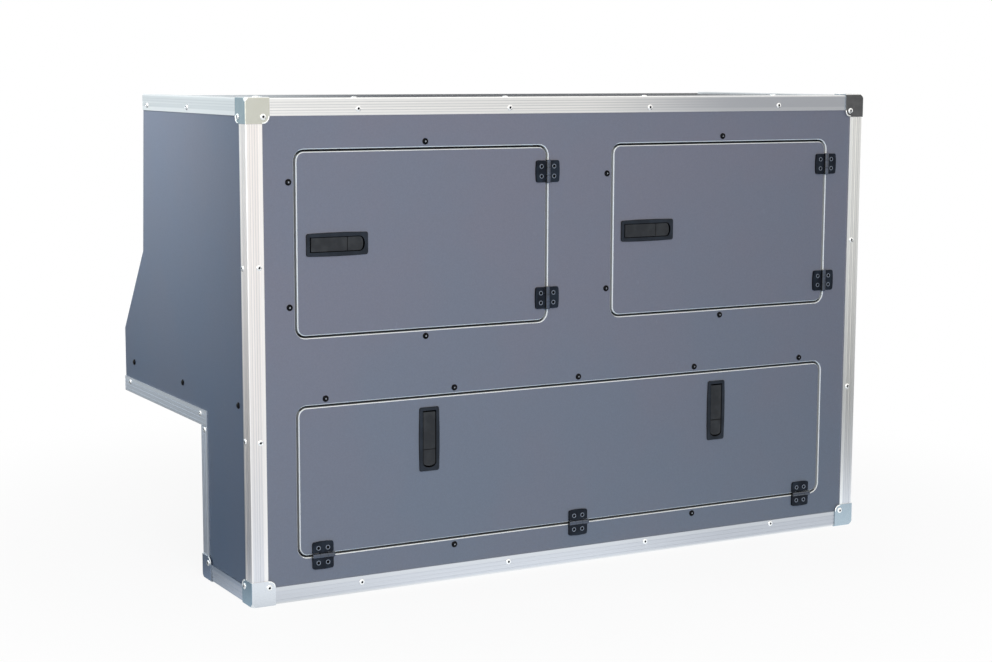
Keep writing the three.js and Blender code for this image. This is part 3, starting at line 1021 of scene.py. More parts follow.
@dataclass(frozen=True)
class SoftenedCopy:
    """A copy of a solid whose sharp edges are broken by a small radius."""

    width: float
    steps: int = 2
    sharp_from: float = 32.0
    weld: float = 0.002 * MM
    flat_within: float = 0.5
    face_weight: int = 100

    def make(self, node: Piece, finish: Finish, slot: str) -> Piece:
        """Copies a solid, rounds its edges, and lets the copy stand for it.

        Args:
            node: the solid, which stays as it is but isn't shown.
            finish: what the copy is dressed in.
            slot: the record's slot that the finish belongs to; not used.

        Returns:
            The copy, riding on the solid's body.
        """
        mesh = bmesh.new()
        mesh.from_mesh(node.data)
        bmesh.ops.remove_doubles(mesh, verts=mesh.verts, dist=self.weld)
        flat = math.radians(self.flat_within)
        bmesh.ops.dissolve_limit(mesh, angle_limit=flat, verts=mesh.verts, edges=mesh.edges)
        piece = link_mesh(f"{node.name}_shell", mesh, finish)
        bevel = piece.modifiers.new("edge_break", "BEVEL")
        bevel.width = self.width
        bevel.segments = self.steps
        bevel.limit_method = "ANGLE"
        bevel.angle_limit = math.radians(self.sharp_from)
        bevel.use_clamp_overlap = True
        evened = piece.modifiers.new("even_shading", "WEIGHTED_NORMAL")
        evened.mode = "FACE_AREA"
        evened.weight = self.face_weight
        for polygon in piece.data.polygons:
            polygon.use_smooth = True
        body = node["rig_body"]
        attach(piece, body)
        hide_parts(node.name)
        LOG.info("%s rides on %s", piece.name, body)
        return piece


@dataclass(frozen=True)
class Extent:
    """The sizes that every sub-assembly shares: the cabinet's reach and its face planes."""

    half_width: float = 0.660
    height: float = 0.880
    front_face: float = -0.3323
    flange_face: float = -0.3346
    flange_side: float = 0.6582
    panel_side: float = 0.6559
    cap_front: float = -0.3364
    rear_offset: float = 0.3364

    def front(self, x: float, z: float, plane: float) -> Seat:
        """A seat on a front-facing plane; x counts from the cabinet's left edge, in millimetres."""
        return Seat(Vector((x * MM - self.half_width, plane, z * MM)), Vector((0, -1, 0)))

    def side(self, y: float, z: float, plane: float, sign: int) -> Seat:
        """A seat on a side plane; y counts from the cabinet's front edge, in millimetres."""
        place = Vector((sign * plane, y * MM - self.rear_offset, z * MM))
        return Seat(place, Vector((sign, 0, 0)))

    def top(self, x: float, y: float, plane: float) -> Seat:
        """A seat on the top; x and y count from the cabinet's front left corner."""
        place = Vector((x * MM - self.half_width, y * MM - self.rear_offset, plane))
        return Seat(place, Vector((0, 0, 1)))


@dataclass(frozen=True)
class Boards:
    """The laminate boards, the plywood behind them, and the folded back sheet."""

    front_facing: tuple[str, ...] = (
        "front_panel", "left_door_panel", "right_door_panel", "flap_panel", "foot_back_panel",
    )
    side_facing: tuple[str, ...] = ("left_side_panel", "right_side_panel")
    level_facing: tuple[str, ...] = ("base_panel", "arch_panel", "middle_shelf")
    stop_frames: tuple[str, ...] = (
        "left_door_stop_frame", "right_door_stop_frame", "flap_stop_frame",
    )
    # painted light: the side boards are the front's laminate in bluer tones, for the cooler light
    # that falls on the sides
    side_slate_painted_light: Colour = linear(108, 114, 128)
    side_cool_tone_and_bounce: Colour = linear(98, 114, 134)
    top_polish: float = 0.8
    top_gloss: float = 0.1

    def dress(self, nodes: dict[str, Piece]) -> None:
        """Dresses the boards where they stand.

        Args:
            nodes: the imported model's solids by name.
        """
        side_finish = SlateLaminate(Axis.ACROSS, slate=self.side_slate_painted_light, cool_tone_and_bounce=self.side_cool_tone_and_bounce)
        top_finish = SlateLaminate(Axis.UPRIGHT, polish=self.top_polish, gloss=self.top_gloss)
        for names, finish in (
            (self.front_facing, SlateLaminate(Axis.REARWARD)),
            (self.side_facing, side_finish),
            (self.level_facing, SlateLaminate(Axis.UPRIGHT)),
            (("top_panel",), top_finish),
            (self.stop_frames, SealedBirch(Axis.REARWARD, Axis.ACROSS)),
            (("back_sheet",), SlateLaminate(Axis.REARWARD, folded=True)),
        ):
            finish.dress(*(nodes[name] for name in names))


# painted light: light, dim and lip tones for single profiles, each set for the light and reflection
# that profile gets; the foot ones darker and bluer for the shaded floor they mirror
FLOOR_SHADE_REFLECTION = (linear(178, 190, 206), linear(152, 166, 184), linear(170, 182, 198))
SHADED = (linear(236, 241, 248), linear(222, 229, 238), linear(242, 246, 251))
TOP_EDGE = (linear(232, 233, 232), linear(216, 218, 218), linear(240, 240, 239))
FRONT_FOOT = (linear(218, 216, 212), linear(200, 199, 197), linear(226, 225, 222))
FRONT_LEFT = (linear(252, 246, 242), linear(237, 231, 227), linear(252, 247, 243))
FRONT_RIGHT = (linear(250, 249, 245), linear(239, 237, 232), linear(255, 255, 252))


def both_sides(**tones: Tones) -> dict[str, Tones]:
    """Gives the left and the right profile of each name the same tones."""
    return {f"{side}_{name}_profile": tones[name] for name in tones for side in ("left", "right")}


@dataclass(frozen=True)
class Profiles:
    """The aluminium angles along the edges, with their rivets."""

    extent: Extent
    rivet: TurnedHead = TurnedHead(
        (
            (5.3, -0.3), (5.3, 0.25), (5.0, 0.85), (4.3, 1.35), (3.3, 1.7), (2.4, 1.8),
            (2.1, 1.65), (1.95, 0.8), (1.2, 0.7), (0.5, 0.68),
        ),
        dark_from=2.12,
    )
    along_front_top: tuple[tuple[float, float], ...] = (
        (210.0, 859.5), (510.0, 859.0), (811.0, 857.5), (1110.5, 859.0),
    )
    along_front_foot: tuple[tuple[float, float], ...] = (
        (210.5, 20.5), (510.0, 20.8), (812.5, 23.5), (1112.5, 25.0),
    )
    up_front: tuple[tuple[float, float], ...] = (
        (23.0, 592.0), (21.0, 290.0), (1299.5, 588.5), (1299.5, 290.0),
    )
    up_side: tuple[float, ...] = (290.0, 590.0)
    along_top: tuple[float, ...] = (210.0, 510.0, 810.0, 1110.0)
    side_from_edge: float = 24.8
    back_along_top: tuple[float, ...] = (287.0, 506.0)
    side_top_height: float = 858.0
    back_along_arch: tuple[float, ...] = (245.0, 646.0)
    arch_height: float = 305.0
    foot_rear_place: tuple[float, float] = (224.0, 278.0)
    edge_inset: float = 20.5
    top_drop: float = 1.8 * MM
    corner_digits: int = 4
    # painted light: the named profiles' own light, dim and lip tones
    tones: dict[str, Tones] = field(
        default_factory=lambda: {
            "front_left_profile": FRONT_LEFT,
            "front_right_profile": FRONT_RIGHT,
            "front_bottom_profile": FRONT_FOOT,
            "foot_rear_profile": FLOOR_SHADE_REFLECTION,
            **both_sides(foot=FLOOR_SHADE_REFLECTION, arch=SHADED, foot_rear=SHADED, top=TOP_EDGE),
        }
    )
    # painted reflection: how strongly each named profile darkens towards the right
    right_shaded: dict[str, float] = field(
        default_factory=lambda: {"front_top_profile": 1.0, "front_bottom_profile": 0.9}
    )
    # painted shade: how dark each named profile's grooves are painted
    groove_shade_shares: dict[str, float] = field(
        default_factory=lambda: {
            "front_right_profile": 0.45, "front_left_profile": 0.35, "front_top_profile": 0.5,
            "left_arch_profile": 0.05,
        }
    )

    def _front_seats(self) -> list[Seat]:
        """Rivet places on the four front profiles, as they were drilled by hand."""
        places = (*self.along_front_top, *self.along_front_foot, *self.up_front)
        return [self.extent.front(x, z, self.extent.flange_face) for x, z in places]

    def _side_seats(self, sign: int) -> list[Seat]:
        """Rivet places on one side's profiles.

        Args:
            sign: minus one for the left side, one for the right.

        Returns:
            The rivets' seats.
        """
        extent, plane = self.extent, self.extent.flange_side
        places = [(self.side_from_edge, z) for z in self.up_side]
        places += [(y, self.side_top_height) for y in self.back_along_top]
        places += [(y, self.arch_height) for y in self.back_along_arch]
        places.append(self.foot_rear_place)
        return [extent.side(y, z, plane, sign) for y, z in places]

    def dress(self, nodes: dict[str, Piece]) -> None:
        """Dresses every profile along its run, with its own outer corner.

        Args:
            nodes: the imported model's solids by name.
        """
        for name, node in nodes.items():
            if not name.endswith("_profile"):
                continue
            low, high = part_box(name)
            reach = high - low
            run = max(zip(reach, Axis), key=lambda pair: pair[0])[1]
            depth = low.y if name.startswith("front") else high.y
            height = high.z if "_top_" in name else low.z
            digits = self.corner_digits
            corner = (max(abs(low.x), abs(high.x)), round(depth, digits), round(height, digits))
            finish = SatinAluminium(
                name.removesuffix("_profile"),
                run,
                corner,
                right_shade=self.right_shaded.get(name, SatinAluminium.right_shade),
                groove_shade_share=self.groove_shade_shares.get(name, SatinAluminium.groove_shade_share),
            )
            # painted light: named profiles take their own light, dim and lip tones
            if name in self.tones:
                light, dim, lip_highlight = self.tones[name]
                finish = replace(finish, light=light, dim=dim, lip_highlight=lip_highlight)
            finish.dress(node)

    def build(self) -> None:
        """Builds the rivets of the front, sides, top and foot."""
        extent = self.extent
        level = extent.height - self.top_drop
        top = [extent.top(x, self.edge_inset, level) for x in self.along_top]
        groups = {
            "front_profile_rivets": self._front_seats(),
            "left_profile_rivets": self._side_seats(-1),
            "right_profile_rivets": self._side_seats(1),
            "top_profile_rivets": top,
        }
        for name, seats in groups.items():
            piece = self.rivet.place_all(name, seats, BRIGHT_RIVET, RIVET_HOLLOW_SHADE)
            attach(piece, "carcass")
            LOG.info("%s: %d heads", name, len(seats))


@dataclass(frozen=True)
class CornerCaps:
    """The pressed metal caps over the corners, each with a rivet in the ear of every shown face."""

    extent: Extent
    rivet_inset: float = 33.0
    softening: SoftenedCopy = SoftenedCopy(0.8 * MM, 3)
    ear_radius: float = 12.0
    foot_middle: float = -0.214
    rim_radius: float = 1.5
    rim_rise: float = 0.25
    rim_sink: float = 0.6
    rim_flat: float = 0.75
    rim_least: float = 0.02
    rim_run_out: float = 6.0
    rim_sweep: tuple[float, float] = (-14.0, 118.0)
    rim_steps: tuple[int, int] = (20, 8)
    rivet: TurnedHead = TurnedHead(
        (
            (5.7, -0.3), (5.7, 0.3), (5.4, 1.0), (4.6, 1.55), (3.5, 1.9), (2.5, 2.0),
            (2.15, 1.85), (2.0, 0.9), (1.2, 0.8), (0.5, 0.78),
        ),
        dark_from=2.17,
    )
    # painted light: each cap's front and side tones stand in for the light and reflection that fall
    # on them, darkest on the top right cap
    plain_tones: tuple[Colour, Colour] = (linear(200, 206, 212), linear(168, 190, 202))
    tones: dict[str, tuple[Colour, Colour]] = field(
        default_factory=lambda: {
            "front_top_left_cap": (linear(197, 197, 187), linear(148, 165, 171)),
            "front_top_right_cap": (linear(104, 104, 105), linear(170, 180, 188)),
            "front_bottom_left_cap": (linear(221, 223, 226), linear(130, 156, 172)),
            "front_bottom_right_cap": (linear(168, 182, 190), linear(168, 184, 194)),
            "foot_rear_left_cap": (linear(200, 206, 212), linear(140, 160, 190)),
        }
    )

    def finish_of(self, name: str) -> ZincPlate:
        """The plate of one cap, with its painted light tones on the front and on the side."""
        return ZincPlate(name.removesuffix("_cap"), *self.tones.get(name, self.plain_tones))

    def _add_rim(self, mesh: Mesh, seat: Seat, inward: tuple[Vector, Vector]) -> None:
        """Adds the pressed rim that follows an ear's round corner, its ends run out into the face.

        Args:
            mesh: the mesh that takes it.
            seat: the ear's middle on the cap's face.
            inward: the two directions in the face that lead away from the cap's outer corner.
        """
        first, second = inward
        turns, around = self.rim_steps
        start, sweep = self.rim_sweep
        rows = []
        for turn in range(turns + 1):
            share = turn / turns
            angle = math.radians(start + sweep * share)
            swell = min(1.0, self.rim_run_out * share, self.rim_run_out * (1 - share)) ** 0.5
            thick = self.rim_radius * swell + self.rim_least
            away = first * math.cos(angle) + second * math.sin(angle)
            middle = away * (self.ear_radius - self.rim_radius)
            middle = middle + seat.outward * (self.rim_rise - self.rim_sink)
            row = []
            for step in range(around):
                roll = 2 * math.pi * step / around
                offset = away * math.cos(roll) * thick
                offset = offset + seat.outward * math.sin(roll) * thick * self.rim_flat
                row.append(mesh.verts.new(seat.place + (middle + offset) * MM))
            rows.append(row)
        for lower, upper in zip(rows, rows[1:]):
            join_rings(mesh, lower, upper)
        mesh.faces.new(list(reversed(rows[0])))
        mesh.faces.new(rows[-1])

    def _rims(self, seats: list[Seat]) -> Piece:
        """Builds the rims of all the ears as one piece, in a paler tone than the caps as a painted
        highlight.

        Args:
            seats: the middle of every ear.

        Returns:
            The piece with all the rims.
        """
        mesh = bmesh.new()
        middle = Vector((0.0, self.foot_middle, self.extent.height / 2))
        for seat in seats:
            inward = []
            for axis in Axis:
                way = Vector(axis.value)
                if not way.dot(seat.outward):
                    inner = -1.0 if (seat.place - middle).dot(way) > 0 else 1.0
                    inward.append(way * inner)
            self._add_rim(mesh, seat, (inward[0], inward[1]))
        bmesh.ops.recalc_face_normals(mesh, faces=mesh.faces)
        return link_mesh("cap_ear_rims", mesh, EAR_RIM_HIGHLIGHT)

    def _foot_rear_seats(self) -> list[Seat]:
        """The seats on the side and rear faces of the two caps at the foot's back edge.

        Returns:
            The seats, the left cap's first.
        """
        inset = self.rivet_inset * MM
        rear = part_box("foot_rear_left_cap")[1].y
        seats = []
        for sign in (-1, 1):
            outer = sign * self.extent.half_width
            seats.append(Seat(Vector((outer, rear - inset, inset)), Vector((sign, 0, 0))))
            seats.append(Seat(Vector((outer - sign * inset, rear, inset)), Vector((0, 1, 0))))
        return seats

    def build(self, nodes: dict[str, Piece]) -> None:
        """Builds the softened caps and their rivets.

        Args:
            nodes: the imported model's solids by name.
        """
        extent, inset = self.extent, self.rivet_inset
        wide, tall = 2 * extent.half_width / MM, extent.height / MM
        for name in sorted(name for name in nodes if name.endswith("_cap")):
            self.softening.make(nodes[name], self.finish_of(name), "plated_cap")
        columns, rows = (inset, wide - inset), (inset, tall - inset)
        front = [extent.front(x, z, extent.cap_front) for x in columns for z in rows]
        sides = [extent.side(inset, z, extent.half_width, sign) for sign in (-1, 1) for z in rows]
        top = [extent.top(x, inset, extent.height) for x in columns]
        seats = front + sides + top + self._foot_rear_seats()
        heads = self.rivet.place_all("cap_rivets", seats, BRIGHT_RIVET, RIVET_HOLLOW_SHADE)
        for piece in (heads, self._rims(seats)):
            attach(piece, "carcass")
            LOG.info("%s: on %d faces", piece.name, len(seats))


@dataclass(frozen=True)
class ButtonScrews:
    """Black button-head screws round the doors and at the level of the shelf."""

    extent: Extent
    head: TurnedHead = TurnedHead(
        (
            (5.8, -0.3), (5.8, 0.5), (5.5, 1.3), (4.8, 2.1), (3.8, 2.7), (2.8, 3.0), (2.2, 3.05),
        ),
        key_reach=1.9,
        key_depth=1.2,
        dark_from=0.1,
    )
    door_tops: tuple[tuple[float, float], ...] = ((340.0, 801.3), (980.0, 801.3))
    door_feet: tuple[tuple[float, float], ...] = ((340.0, 455.2), (980.0, 455.2))
    door_lefts: tuple[float, ...] = (78.7, 718.7)
    door_middle: float = 628.25
    door_left_spread: float = 107.6
    flap_tops: tuple[float, ...] = (144.3, 397.7, 660.0, 922.3, 1175.7)
    flap_feet: tuple[float, ...] = (397.8, 922.2)
    flap_top_height: float = 357.3
    flap_foot_height: float = 66.9
    shelf_places: tuple[float, ...] = (59.0, 341.0, 623.0)
    shelf_height: float = 348.0

    def build(self) -> None:
        """Builds the screws of the front and of both sides."""
        extent = self.extent
        places = [*self.door_tops, *self.door_feet]
        for x in self.door_lefts:
            for shift in (-self.door_left_spread, self.door_left_spread):
                places.append((x, self.door_middle + shift))
        places += [(x, self.flap_top_height) for x in self.flap_tops]
        places += [(x, self.flap_foot_height) for x in self.flap_feet]
        groups = {"stop_frame_screws": [extent.front(x, z, extent.front_face) for x, z in places]}
        for label, sign in (("left", -1), ("right", 1)):
            plane, height = extent.panel_side, self.shelf_height
            seats = [extent.side(y, height, plane, sign) for y in self.shelf_places]
            groups[f"{label}_shelf_screws"] = seats
        for name, seats in groups.items():
            piece = self.head.place_all(name, seats, BLACK_SCREW, SOCKET_GLINT)
            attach(piece, "carcass")
            LOG.info("%s: %d heads", name, len(seats))


@dataclass(frozen=True)
class Hinges:
    """The black hinges: softened leaves, and a screw in every dish."""

    extent: Extent
    softening: SoftenedCopy = SoftenedCopy(0.8 * MM, 3)
    dish_place: float = 13.2
    dish_spread: float = 9.0
    dish_rim: float = 4.6
    pin_inset: float = 4.5
    knuckle_reach: float = 5.2
    before_front: float = -0.4
    head: TurnedHead = TurnedHead(
        (
            (2.3, -1.6), (4.3, -0.2), (4.2, 0.05), (3.9, 0.3), (3.3, 0.35), (2.85, 0.1),
            (2.7, -0.8), (1.2, -0.9),
        ),
        dark_from=2.9,
    )

    def _pin(self, name: str) -> tuple[bool, float, int]:
        """Finds a leaf's pin.

        Args:
            name: the leaf's own name, whose box holds the pin at one edge.

        Returns:
            Whether the pin stands upright, its place along X or Z, and the sign of the way
            from it into the leaf.
        """
        low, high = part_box(name)
        upright = (high.z - low.z) > (high.x - low.x)
        inset = self.pin_inset * MM
        if upright == name.endswith("frame_leaf"):
            return upright, (low.x if upright else low.z) + inset, 1
        return upright, (high.x if upright else high.z) - inset, -1

    def _seats(self, node: Piece) -> list[Seat]:
        """Finds on a leaf where its two screws sit.

        Args:
            node: the leaf.

        Returns:
            The two seats.
        """
        low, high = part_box(node.name)
        middle = (low + high) / 2
        tree = BVHTree.FromPolygons(
            [vertex.co for vertex in node.data.vertices],
            [polygon.vertices for polygon in node.data.polygons],
        )
        upright, pin, inward = self._pin(node.name)
        place = pin + inward * self.dish_place * MM
        seats = []
        for sign in (-1, 1):
            shift = sign * self.dish_spread * MM
            x, z = (place, middle.z + shift) if upright else (middle.x + shift, place)
            start = Vector((x + self.dish_rim * MM, self.before_front, z))
            rim = tree.ray_cast(start, Vector((0, 1, 0)))[0]
            seats.append(Seat(Vector((x, rim.y, z)), Vector((0, -1, 0))))
        return seats

    def _highlight_knuckle(self, piece: Piece, name: str) -> None:
        """Gives the faces of a softened leaf that lie round its pin their glossier finish, in a
        lighter tone painted as the knuckle's highlight.

        Args:
            piece: the softened leaf.
            name: the leaf's own name, whose box gives the pin's place.
        """
        upright, pin, _ = self._pin(name)
        piece.data.materials.append(HINGE_KNUCKLE_HIGHLIGHT.material())
        for polygon in piece.data.polygons:
            place = polygon.center.x if upright else polygon.center.z
            if abs(place - pin) < self.knuckle_reach * MM:
                polygon.material_index = 1

    def build(self, nodes: dict[str, Piece]) -> None:
        """Builds the softened leaves and their screws, grouped by the body that they ride on.

        Args:
            nodes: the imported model's solids by name.
        """
        by_body: dict[str, list[Seat]] = {}
        for name in sorted(name for name in nodes if name.endswith("_leaf")):
            node = nodes[name]
            by_body.setdefault(node["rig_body"], []).extend(self._seats(node))
            leaf = self.softening.make(node, HINGE_BLACK, "black_plastic")
            self._highlight_knuckle(leaf, name)
        for body, seats in by_body.items():
            piece = self.head.place_all(f"{body}_hinge_screws", seats, HINGE_SCREW_HIGHLIGHT, SCREW_SOCKET_SHADE)
            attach(piece, body)
            LOG.info("%s: %d heads", piece.name, len(seats))


@dataclass(frozen=True)
class Latches:
    """The flush rocker latches: softened housings and paddles, and their steel bolts."""

    housing_softening: SoftenedCopy = SoftenedCopy(1.1 * MM, 3)
    paddle_softening: SoftenedCopy = SoftenedCopy(0.6 * MM, 3)
    skin: float = 0.7 * MM

    def _shade_creases(self, piece: Piece, name: str) -> None:
        """Leaves the faces that lie below a paddle's skin in plain black, as painted shade in its
        creases and recess.

        Args:
            piece: the softened paddle.
            name: the paddle's own name, whose box gives the level of its skin.
        """
        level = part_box(name)[0].y + self.skin
        piece.data.materials.append(CREASE_SHADE.material())
        for polygon in piece.data.polygons:
            if polygon.center.y > level:
                polygon.material_index = 1

    def build(self, nodes: dict[str, Piece]) -> None:
        """Builds the softened plastic parts and dresses the bolts.

        Args:
            nodes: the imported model's solids by name.
        """
        for name in sorted(nodes):
            if name.endswith("_housing"):
                self.housing_softening.make(nodes[name], BEZEL_BLACK, "black_plastic")
            elif name.endswith("_paddle"):
                paddle = self.paddle_softening.make(nodes[name], PADDLE_BLACK, "black_plastic")
                self._shade_creases(paddle, name)
            elif name.endswith("_bolt"):
                BOLT_STEEL.dress(nodes[name])


@dataclass(frozen=True)
class SoftBox:
    """A studio lamp with a wide pale face."""

    name: str
    place: Triple
    aim: Triple
    width: float
    tall: float
    watts: float
    tone: Colour = (1.0, 1.0, 1.0)
    shows: bool = True
    spread: float = 180.0

    def hang(self) -> None:
        """Adds the lamp, turned to its aim."""
        data = bpy.data.lights.new(self.name, "AREA")
        data.shape = "RECTANGLE"
        data.size = self.width
        data.size_y = self.tall
        data.energy = self.watts
        data.color = self.tone
        data.spread = math.radians(self.spread)
        lamp = link(self.name, data)
        lamp.location = self.place
        direction = Vector(self.aim) - Vector(self.place)
        lamp.rotation_euler = direction.to_track_quat("-Z", "Y").to_euler()
        lamp.visible_glossy = self.shows


@dataclass(frozen=True)
class Zone:
    """A part of the room that is lighter or darker than the rest where metal mirrors it."""

    way: Triple
    rise: Rise

    def part(self, bench: Bench) -> Wire:
        """What the zone adds to the light from a ray's direction."""
        return self.rise.of(bench.dot("Generated", tuple(Vector(self.way).normalized())))


@dataclass(frozen=True)
class FloorPaper(Finish):
    """White paper: it takes the cabinet's shadow, and metal mirrors some parts of it dimmer."""

    kind = "studio"
    label: str = "floor"
    bounce: Colour = linear(96, 151, 198)
    pale: Colour = linear(246, 246, 247)
    clouded: Colour = linear(238, 239, 241)
    white: Colour = (1.0, 1.0, 1.0)
    mirrored_white: Colour = (0.9, 0.95, 1.0)
    clouds: Grain = Grain(3.0, 3.0)
    cloud_share: float = 0.3
    rough: float = 0.9
    least_white: float = 0.9
    shadow_fade: Rise = Rise(0.5, 1.6, 0.1)
    mirror_light: float = 1.22
    behind_depth: Rise = Rise(-0.6, 0.1)
    behind_left: Rise = Rise(-0.66, -0.2)
    behind_dim: float = 0.97
    behind_fade: Rise = Rise(0.9, 5.0, 0.5)
    right_across: Rise = Rise(0.6, 1.6)
    right_fade: Rise = Rise(2.2, 4.4, 0.7)
    right_depth: Rise = Rise(-0.5, 0.0)
    right_dim: float = 0.9
    dip_near: Rise = Rise(0.45, 0.9)
    dip_far: Rise = Rise(2.0, 4.0)
    dip_dim: float = 0.3

    def _mirrored(self, bench: Bench, distance: Wire) -> Wire:
        """Lays out how light the floor is where metal mirrors it.

        Args:
            bench: the material's bench.
            distance: how far the place lies from the cabinet's middle.

        Returns:
            The light's strength.
        """
        across, rearward = bench.along(Axis.ACROSS), bench.along(Axis.REARWARD)
        ahead = 0 - rearward
        behind = self.behind_depth.of(rearward) * (1 - self.behind_left.of(across))
        right = self.right_across.of(across) * (1 - self.right_fade.of(distance))
        right = right * (1 - self.right_depth.of(rearward))
        dip = self.dip_near.of(ahead) * (1 - self.dip_far.of(ahead))
        light = self.mirror_light - right * self.right_dim - dip * self.dip_dim
        return light - behind * self.behind_dim + behind * self.behind_fade.of(distance)

    def shader(self, bench: Bench) -> Socket:
        """Lays the finish out: lit paper near the cabinet, and plain white light elsewhere.

        Args:
            bench: the material's bench.

        Returns:
            The finished surface.
        """
        seen, mirrored = bench.rays()
        pale = bench.blend(bench.grain(self.clouds) * self.cloud_share, self.pale, self.clouded)
        pale = bench.blend(seen, self.bounce, pale)
        lit = bench.surface(
            {"Base Color": pale, "Roughness": self.rough, "Specular IOR Level": 0.0}
        )
        length = bench.vector("LENGTH", bench.places().outputs["Object"])
        distance = Wire(bench, length.outputs["Value"])
        strength = seen + mirrored * self._mirrored(bench, distance)
        tint = bench.blend(seen, self.mirrored_white, self.white)
        white = bench.node("ShaderNodeEmission", None, {"Color": tint, "Strength": strength})
        share = seen * (self.least_white + self.shadow_fade.of(distance)) + mirrored
        sockets = {0: share, 1: lit, 2: white.outputs[0]}
        return bench.node("ShaderNodeMixShader", None, sockets).outputs[0]


@dataclass(frozen=True)
class Studio:
    """The pale floor, the white surround, the lamps and the camera."""

    eye: Triple = (-1.852, -3.3666, 0.9279)
    right: Triple = (0.87558, -0.48307, 0.00265)
    up: Triple = (0.06304, 0.1197, 0.99081)
    lens: float = 69.671
    sensor_width: float = 36.0
    clip: tuple[float, float] = (0.05, 60.0)
    floor_reach: float = 9.0
    floor_parts: int = 12
    floor_drop: float = 0.5 * MM
    soft_light: float = 0.17
    sky: Zone = Zone((0.0, 0.0, 1.0), Rise(-0.1, 1.0, 0.24))
    room_light: float = 1.22
    left_card: Zone = Zone((-1.0, -0.25, 0.1), Rise(0.45, 0.9, 0.25))
    ceiling: Zone = Zone((0.0, 0.0, 1.0), Rise(0.15, 0.8, 0.1))
    doorway: Zone = Zone((0.637, -0.77, 0.0), Rise(0.90, 0.96, -1.1))
    beside_doorway: Triple = (0.77, 0.637, 0.0)
    doorway_edge: Rise = Rise(0.05, 0.13)
    far_wall: Zone = Zone((0.57, 0.82, 0.0), Rise(0.962, 0.99, -0.95))
    behind: Zone = Zone((-0.45, 0.9, 0.0), Rise(0.2, 0.9))
    behind_dim: float = 0.22
    white: Colour = (1.0, 1.0, 1.0)
    warm_white: Colour = (1.0, 0.992, 0.975)
    cool_white: Colour = (0.86, 0.95, 1.0)
    lamps: tuple[SoftBox, ...] = (
        SoftBox(
            "key",
            place=(-2.3, 0.45, 1.8),
            aim=(-0.66, 0.25, 1.1),
            width=0.8,
            tall=0.8,
            watts=4.6,
            spread=44.0,
        ),
        SoftBox(
            "near_card",
            place=(-1.5, -3.5, 1.3),
            aim=(-0.3, -0.3, 0.45),
            width=0.9,
            tall=0.9,
            watts=12.0,
        ),
        SoftBox(
            "front_fill",
            place=(-1.2, -3.6, 1.2),
            aim=(-0.3, -0.3, 0.45),
            width=2.0,
            tall=1.6,
            watts=96.0,
            shows=False,
        ),
    )

    def _camera(self) -> None:
        """Stands the camera where the photograph was taken from."""
        data = bpy.data.cameras.new("photograph")
        data.lens = self.lens
        data.sensor_width = self.sensor_width
        data.sensor_fit = "HORIZONTAL"
        data.clip_start, data.clip_end = self.clip
        camera = link("photograph", data)
        right, up = Vector(self.right).normalized(), Vector(self.up).normalized()
        back = right.cross(up).normalized()
        up = back.cross(right)
        turn = Matrix((right, up, back)).transposed()
        camera.matrix_world = Matrix.Translation(self.eye) @ turn.to_4x4()
        bpy.context.scene.camera = camera

    def _surround(self) -> None:
        """Makes the surround white where it is seen, paler and dimmer by side where metal mirrors
        it, and a soft light from above elsewhere."""
        world = bpy.data.worlds.new("white_surround")
        world.use_nodes = True
        bpy.context.scene.world = world
        bench = Bench(world.node_tree)
        seen, mirrored = bench.rays()
        beside = bench.dot("Generated", tuple(Vector(self.beside_doorway).normalized())).size()
        behind = self.behind.part(bench)
        room = self.room_light + self.left_card.part(bench) + self.ceiling.part(bench)
        room = room + (1 - self.doorway_edge.of(beside)) * self.doorway.part(bench)
        room = room - behind * self.behind_dim + self.far_wall.part(bench)
        soft = self.soft_light + self.sky.part(bench)
        strength = seen + mirrored * room + (1 - seen - mirrored) * soft
        tint = bench.blend(behind, self.warm_white, self.cool_white)
        tint = bench.blend(seen, tint, self.white)
        light = bench.node("ShaderNodeBackground", None, {"Color": tint, "Strength": strength})
        bench.node("ShaderNodeOutputWorld", None, {"Surface": light.outputs[0]})

    def _floor(self) -> None:
        """Lays the floor: it keeps the cabinet's shadow near it and runs out into white."""
        mesh = bmesh.new()
        parts = self.floor_parts
        bmesh.ops.create_grid(mesh, x_segments=parts, y_segments=parts, size=self.floor_reach)
        floor = link_mesh("studio_floor", mesh, FloorPaper())
        floor.location.z = -self.floor_drop

    def build(self) -> None:
        """Sets up the whole studio."""
        self._camera()
        self._surround()
        self._floor()
        for lamp in self.lamps:
            lamp.hang()
        bpy.context.scene.view_settings.view_transform = "Standard"


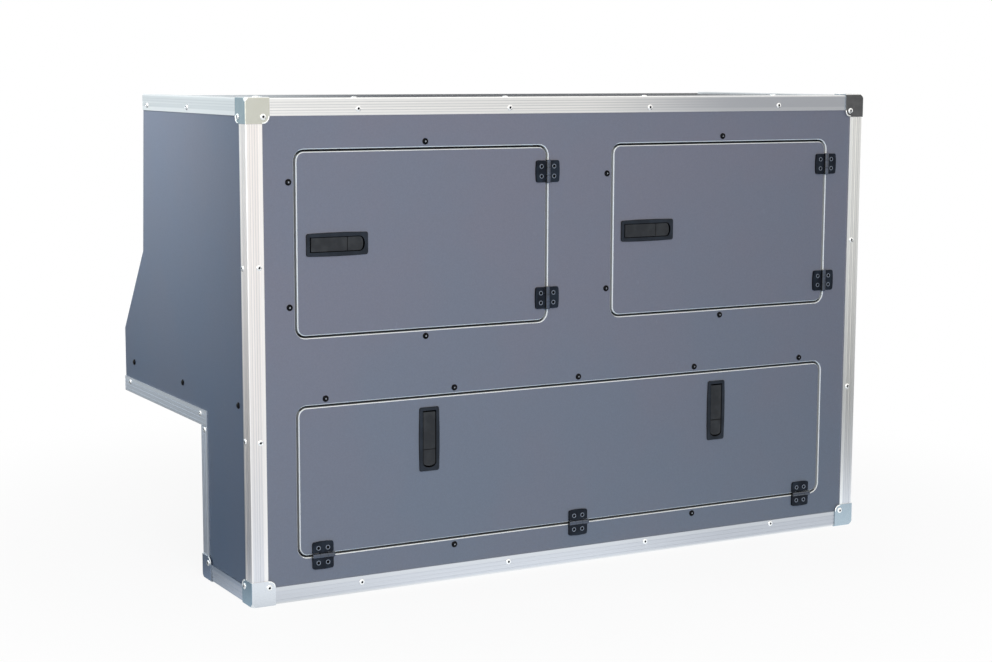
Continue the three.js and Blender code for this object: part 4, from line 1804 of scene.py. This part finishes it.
BRIGHT_RIVET = TurnedMetal(
    "bright_rivet", tone=linear(244, 244, 242), wear=linear(226, 228, 232), shine=0.16
)
# painted highlight: the pressed rims round the caps' ears, paler than the caps' plate
EAR_RIM_HIGHLIGHT = TurnedMetal(
    "ear_rim_highlight", tone=linear(246, 246, 244), wear=linear(230, 232, 235), shine=0.14
)
# painted shade: the hollow in the middle of each rivet, near black for the shade inside it
RIVET_HOLLOW_SHADE = TurnedMetal(
    "rivet_hollow_shade", tone=linear(34, 34, 38), wear=linear(70, 72, 76), shine=0.35
)
SOCKET_GLINT = TurnedMetal(
    "socket_glint", tone=linear(170, 174, 182), wear=linear(214, 216, 220), shine=0.4
)
# painted highlight: the grey ring of the hinge screw heads, lightened for the light on the dish
# rims
HINGE_SCREW_HIGHLIGHT = TurnedMetal(
    "hinge_screw_highlight", tone=linear(126, 134, 147), wear=linear(170, 176, 186), shine=0.3
)
BOLT_STEEL = TurnedMetal(
    "bolt_steel", tone=linear(182, 184, 188), wear=linear(206, 207, 208), shine=0.24
)
BLACK_SCREW = TurnedMetal(
    "black_screw", linear(4, 5, 8), linear(14, 16, 21), shine=0.1, metal=0.0, gloss=0.09
)
# painted shade: the near black middle of the hinge screw heads, for the shade in their recess
SCREW_SOCKET_SHADE = TurnedMetal(
    "screw_socket_shade", linear(3, 4, 6), linear(8, 9, 12), shine=0.5, metal=0.0, gloss=0.05
)
HINGE_BLACK = BlackMoulding(
    "hinge",
    tone=linear(17, 21, 29),
    rubbed=linear(38, 45, 54),
    sheen=0.13,
    rough=0.3,
    flank_shade=linear(5, 7, 12),
    flank_shade_from=0.75,
    flank_shade_to=0.97,
)
# painted highlight: a lighter, glossier tone along the hinge knuckles
HINGE_KNUCKLE_HIGHLIGHT = BlackMoulding(
    "hinge_knuckle_highlight", linear(30, 40, 56), linear(56, 68, 88), sheen=0.8, rough=0.12
)
BEZEL_BLACK = BlackMoulding(
    "bezel",
    tone=linear(22, 27, 34),
    rubbed=linear(37, 42, 50),
    flank_shade=linear(6, 7, 10),
    flank_shade_from=0.75,
    flank_shade_to=0.97,
)
PADDLE_BLACK = BlackMoulding(
    "paddle",
    tone=linear(38, 39, 41),
    rubbed=linear(54, 55, 56),
    flank_shade=linear(6, 6, 8),
    flank_shade_from=0.75,
    flank_shade_to=0.97,
)
# painted shade: near black for the faces in the paddles' creases and recess
CREASE_SHADE = BlackMoulding("crease", linear(4, 4, 6), linear(10, 10, 12), sheen=0.05, rough=0.6)


def main() -> None:
    """Builds the studio and every sub-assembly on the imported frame."""
    logging.basicConfig(level=logging.INFO, format="%(name)s: %(message)s")
    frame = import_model()
    nodes = frame["nodes"]
    extent = Extent()
    Studio().build()
    Boards().dress(nodes)
    profiles = Profiles(extent)
    profiles.dress(nodes)
    profiles.build()
    CornerCaps(extent).build(nodes)
    ButtonScrews(extent).build()
    Hinges(extent).build(nodes)
    Latches().build(nodes)


if __name__ == "__main__":
    main()
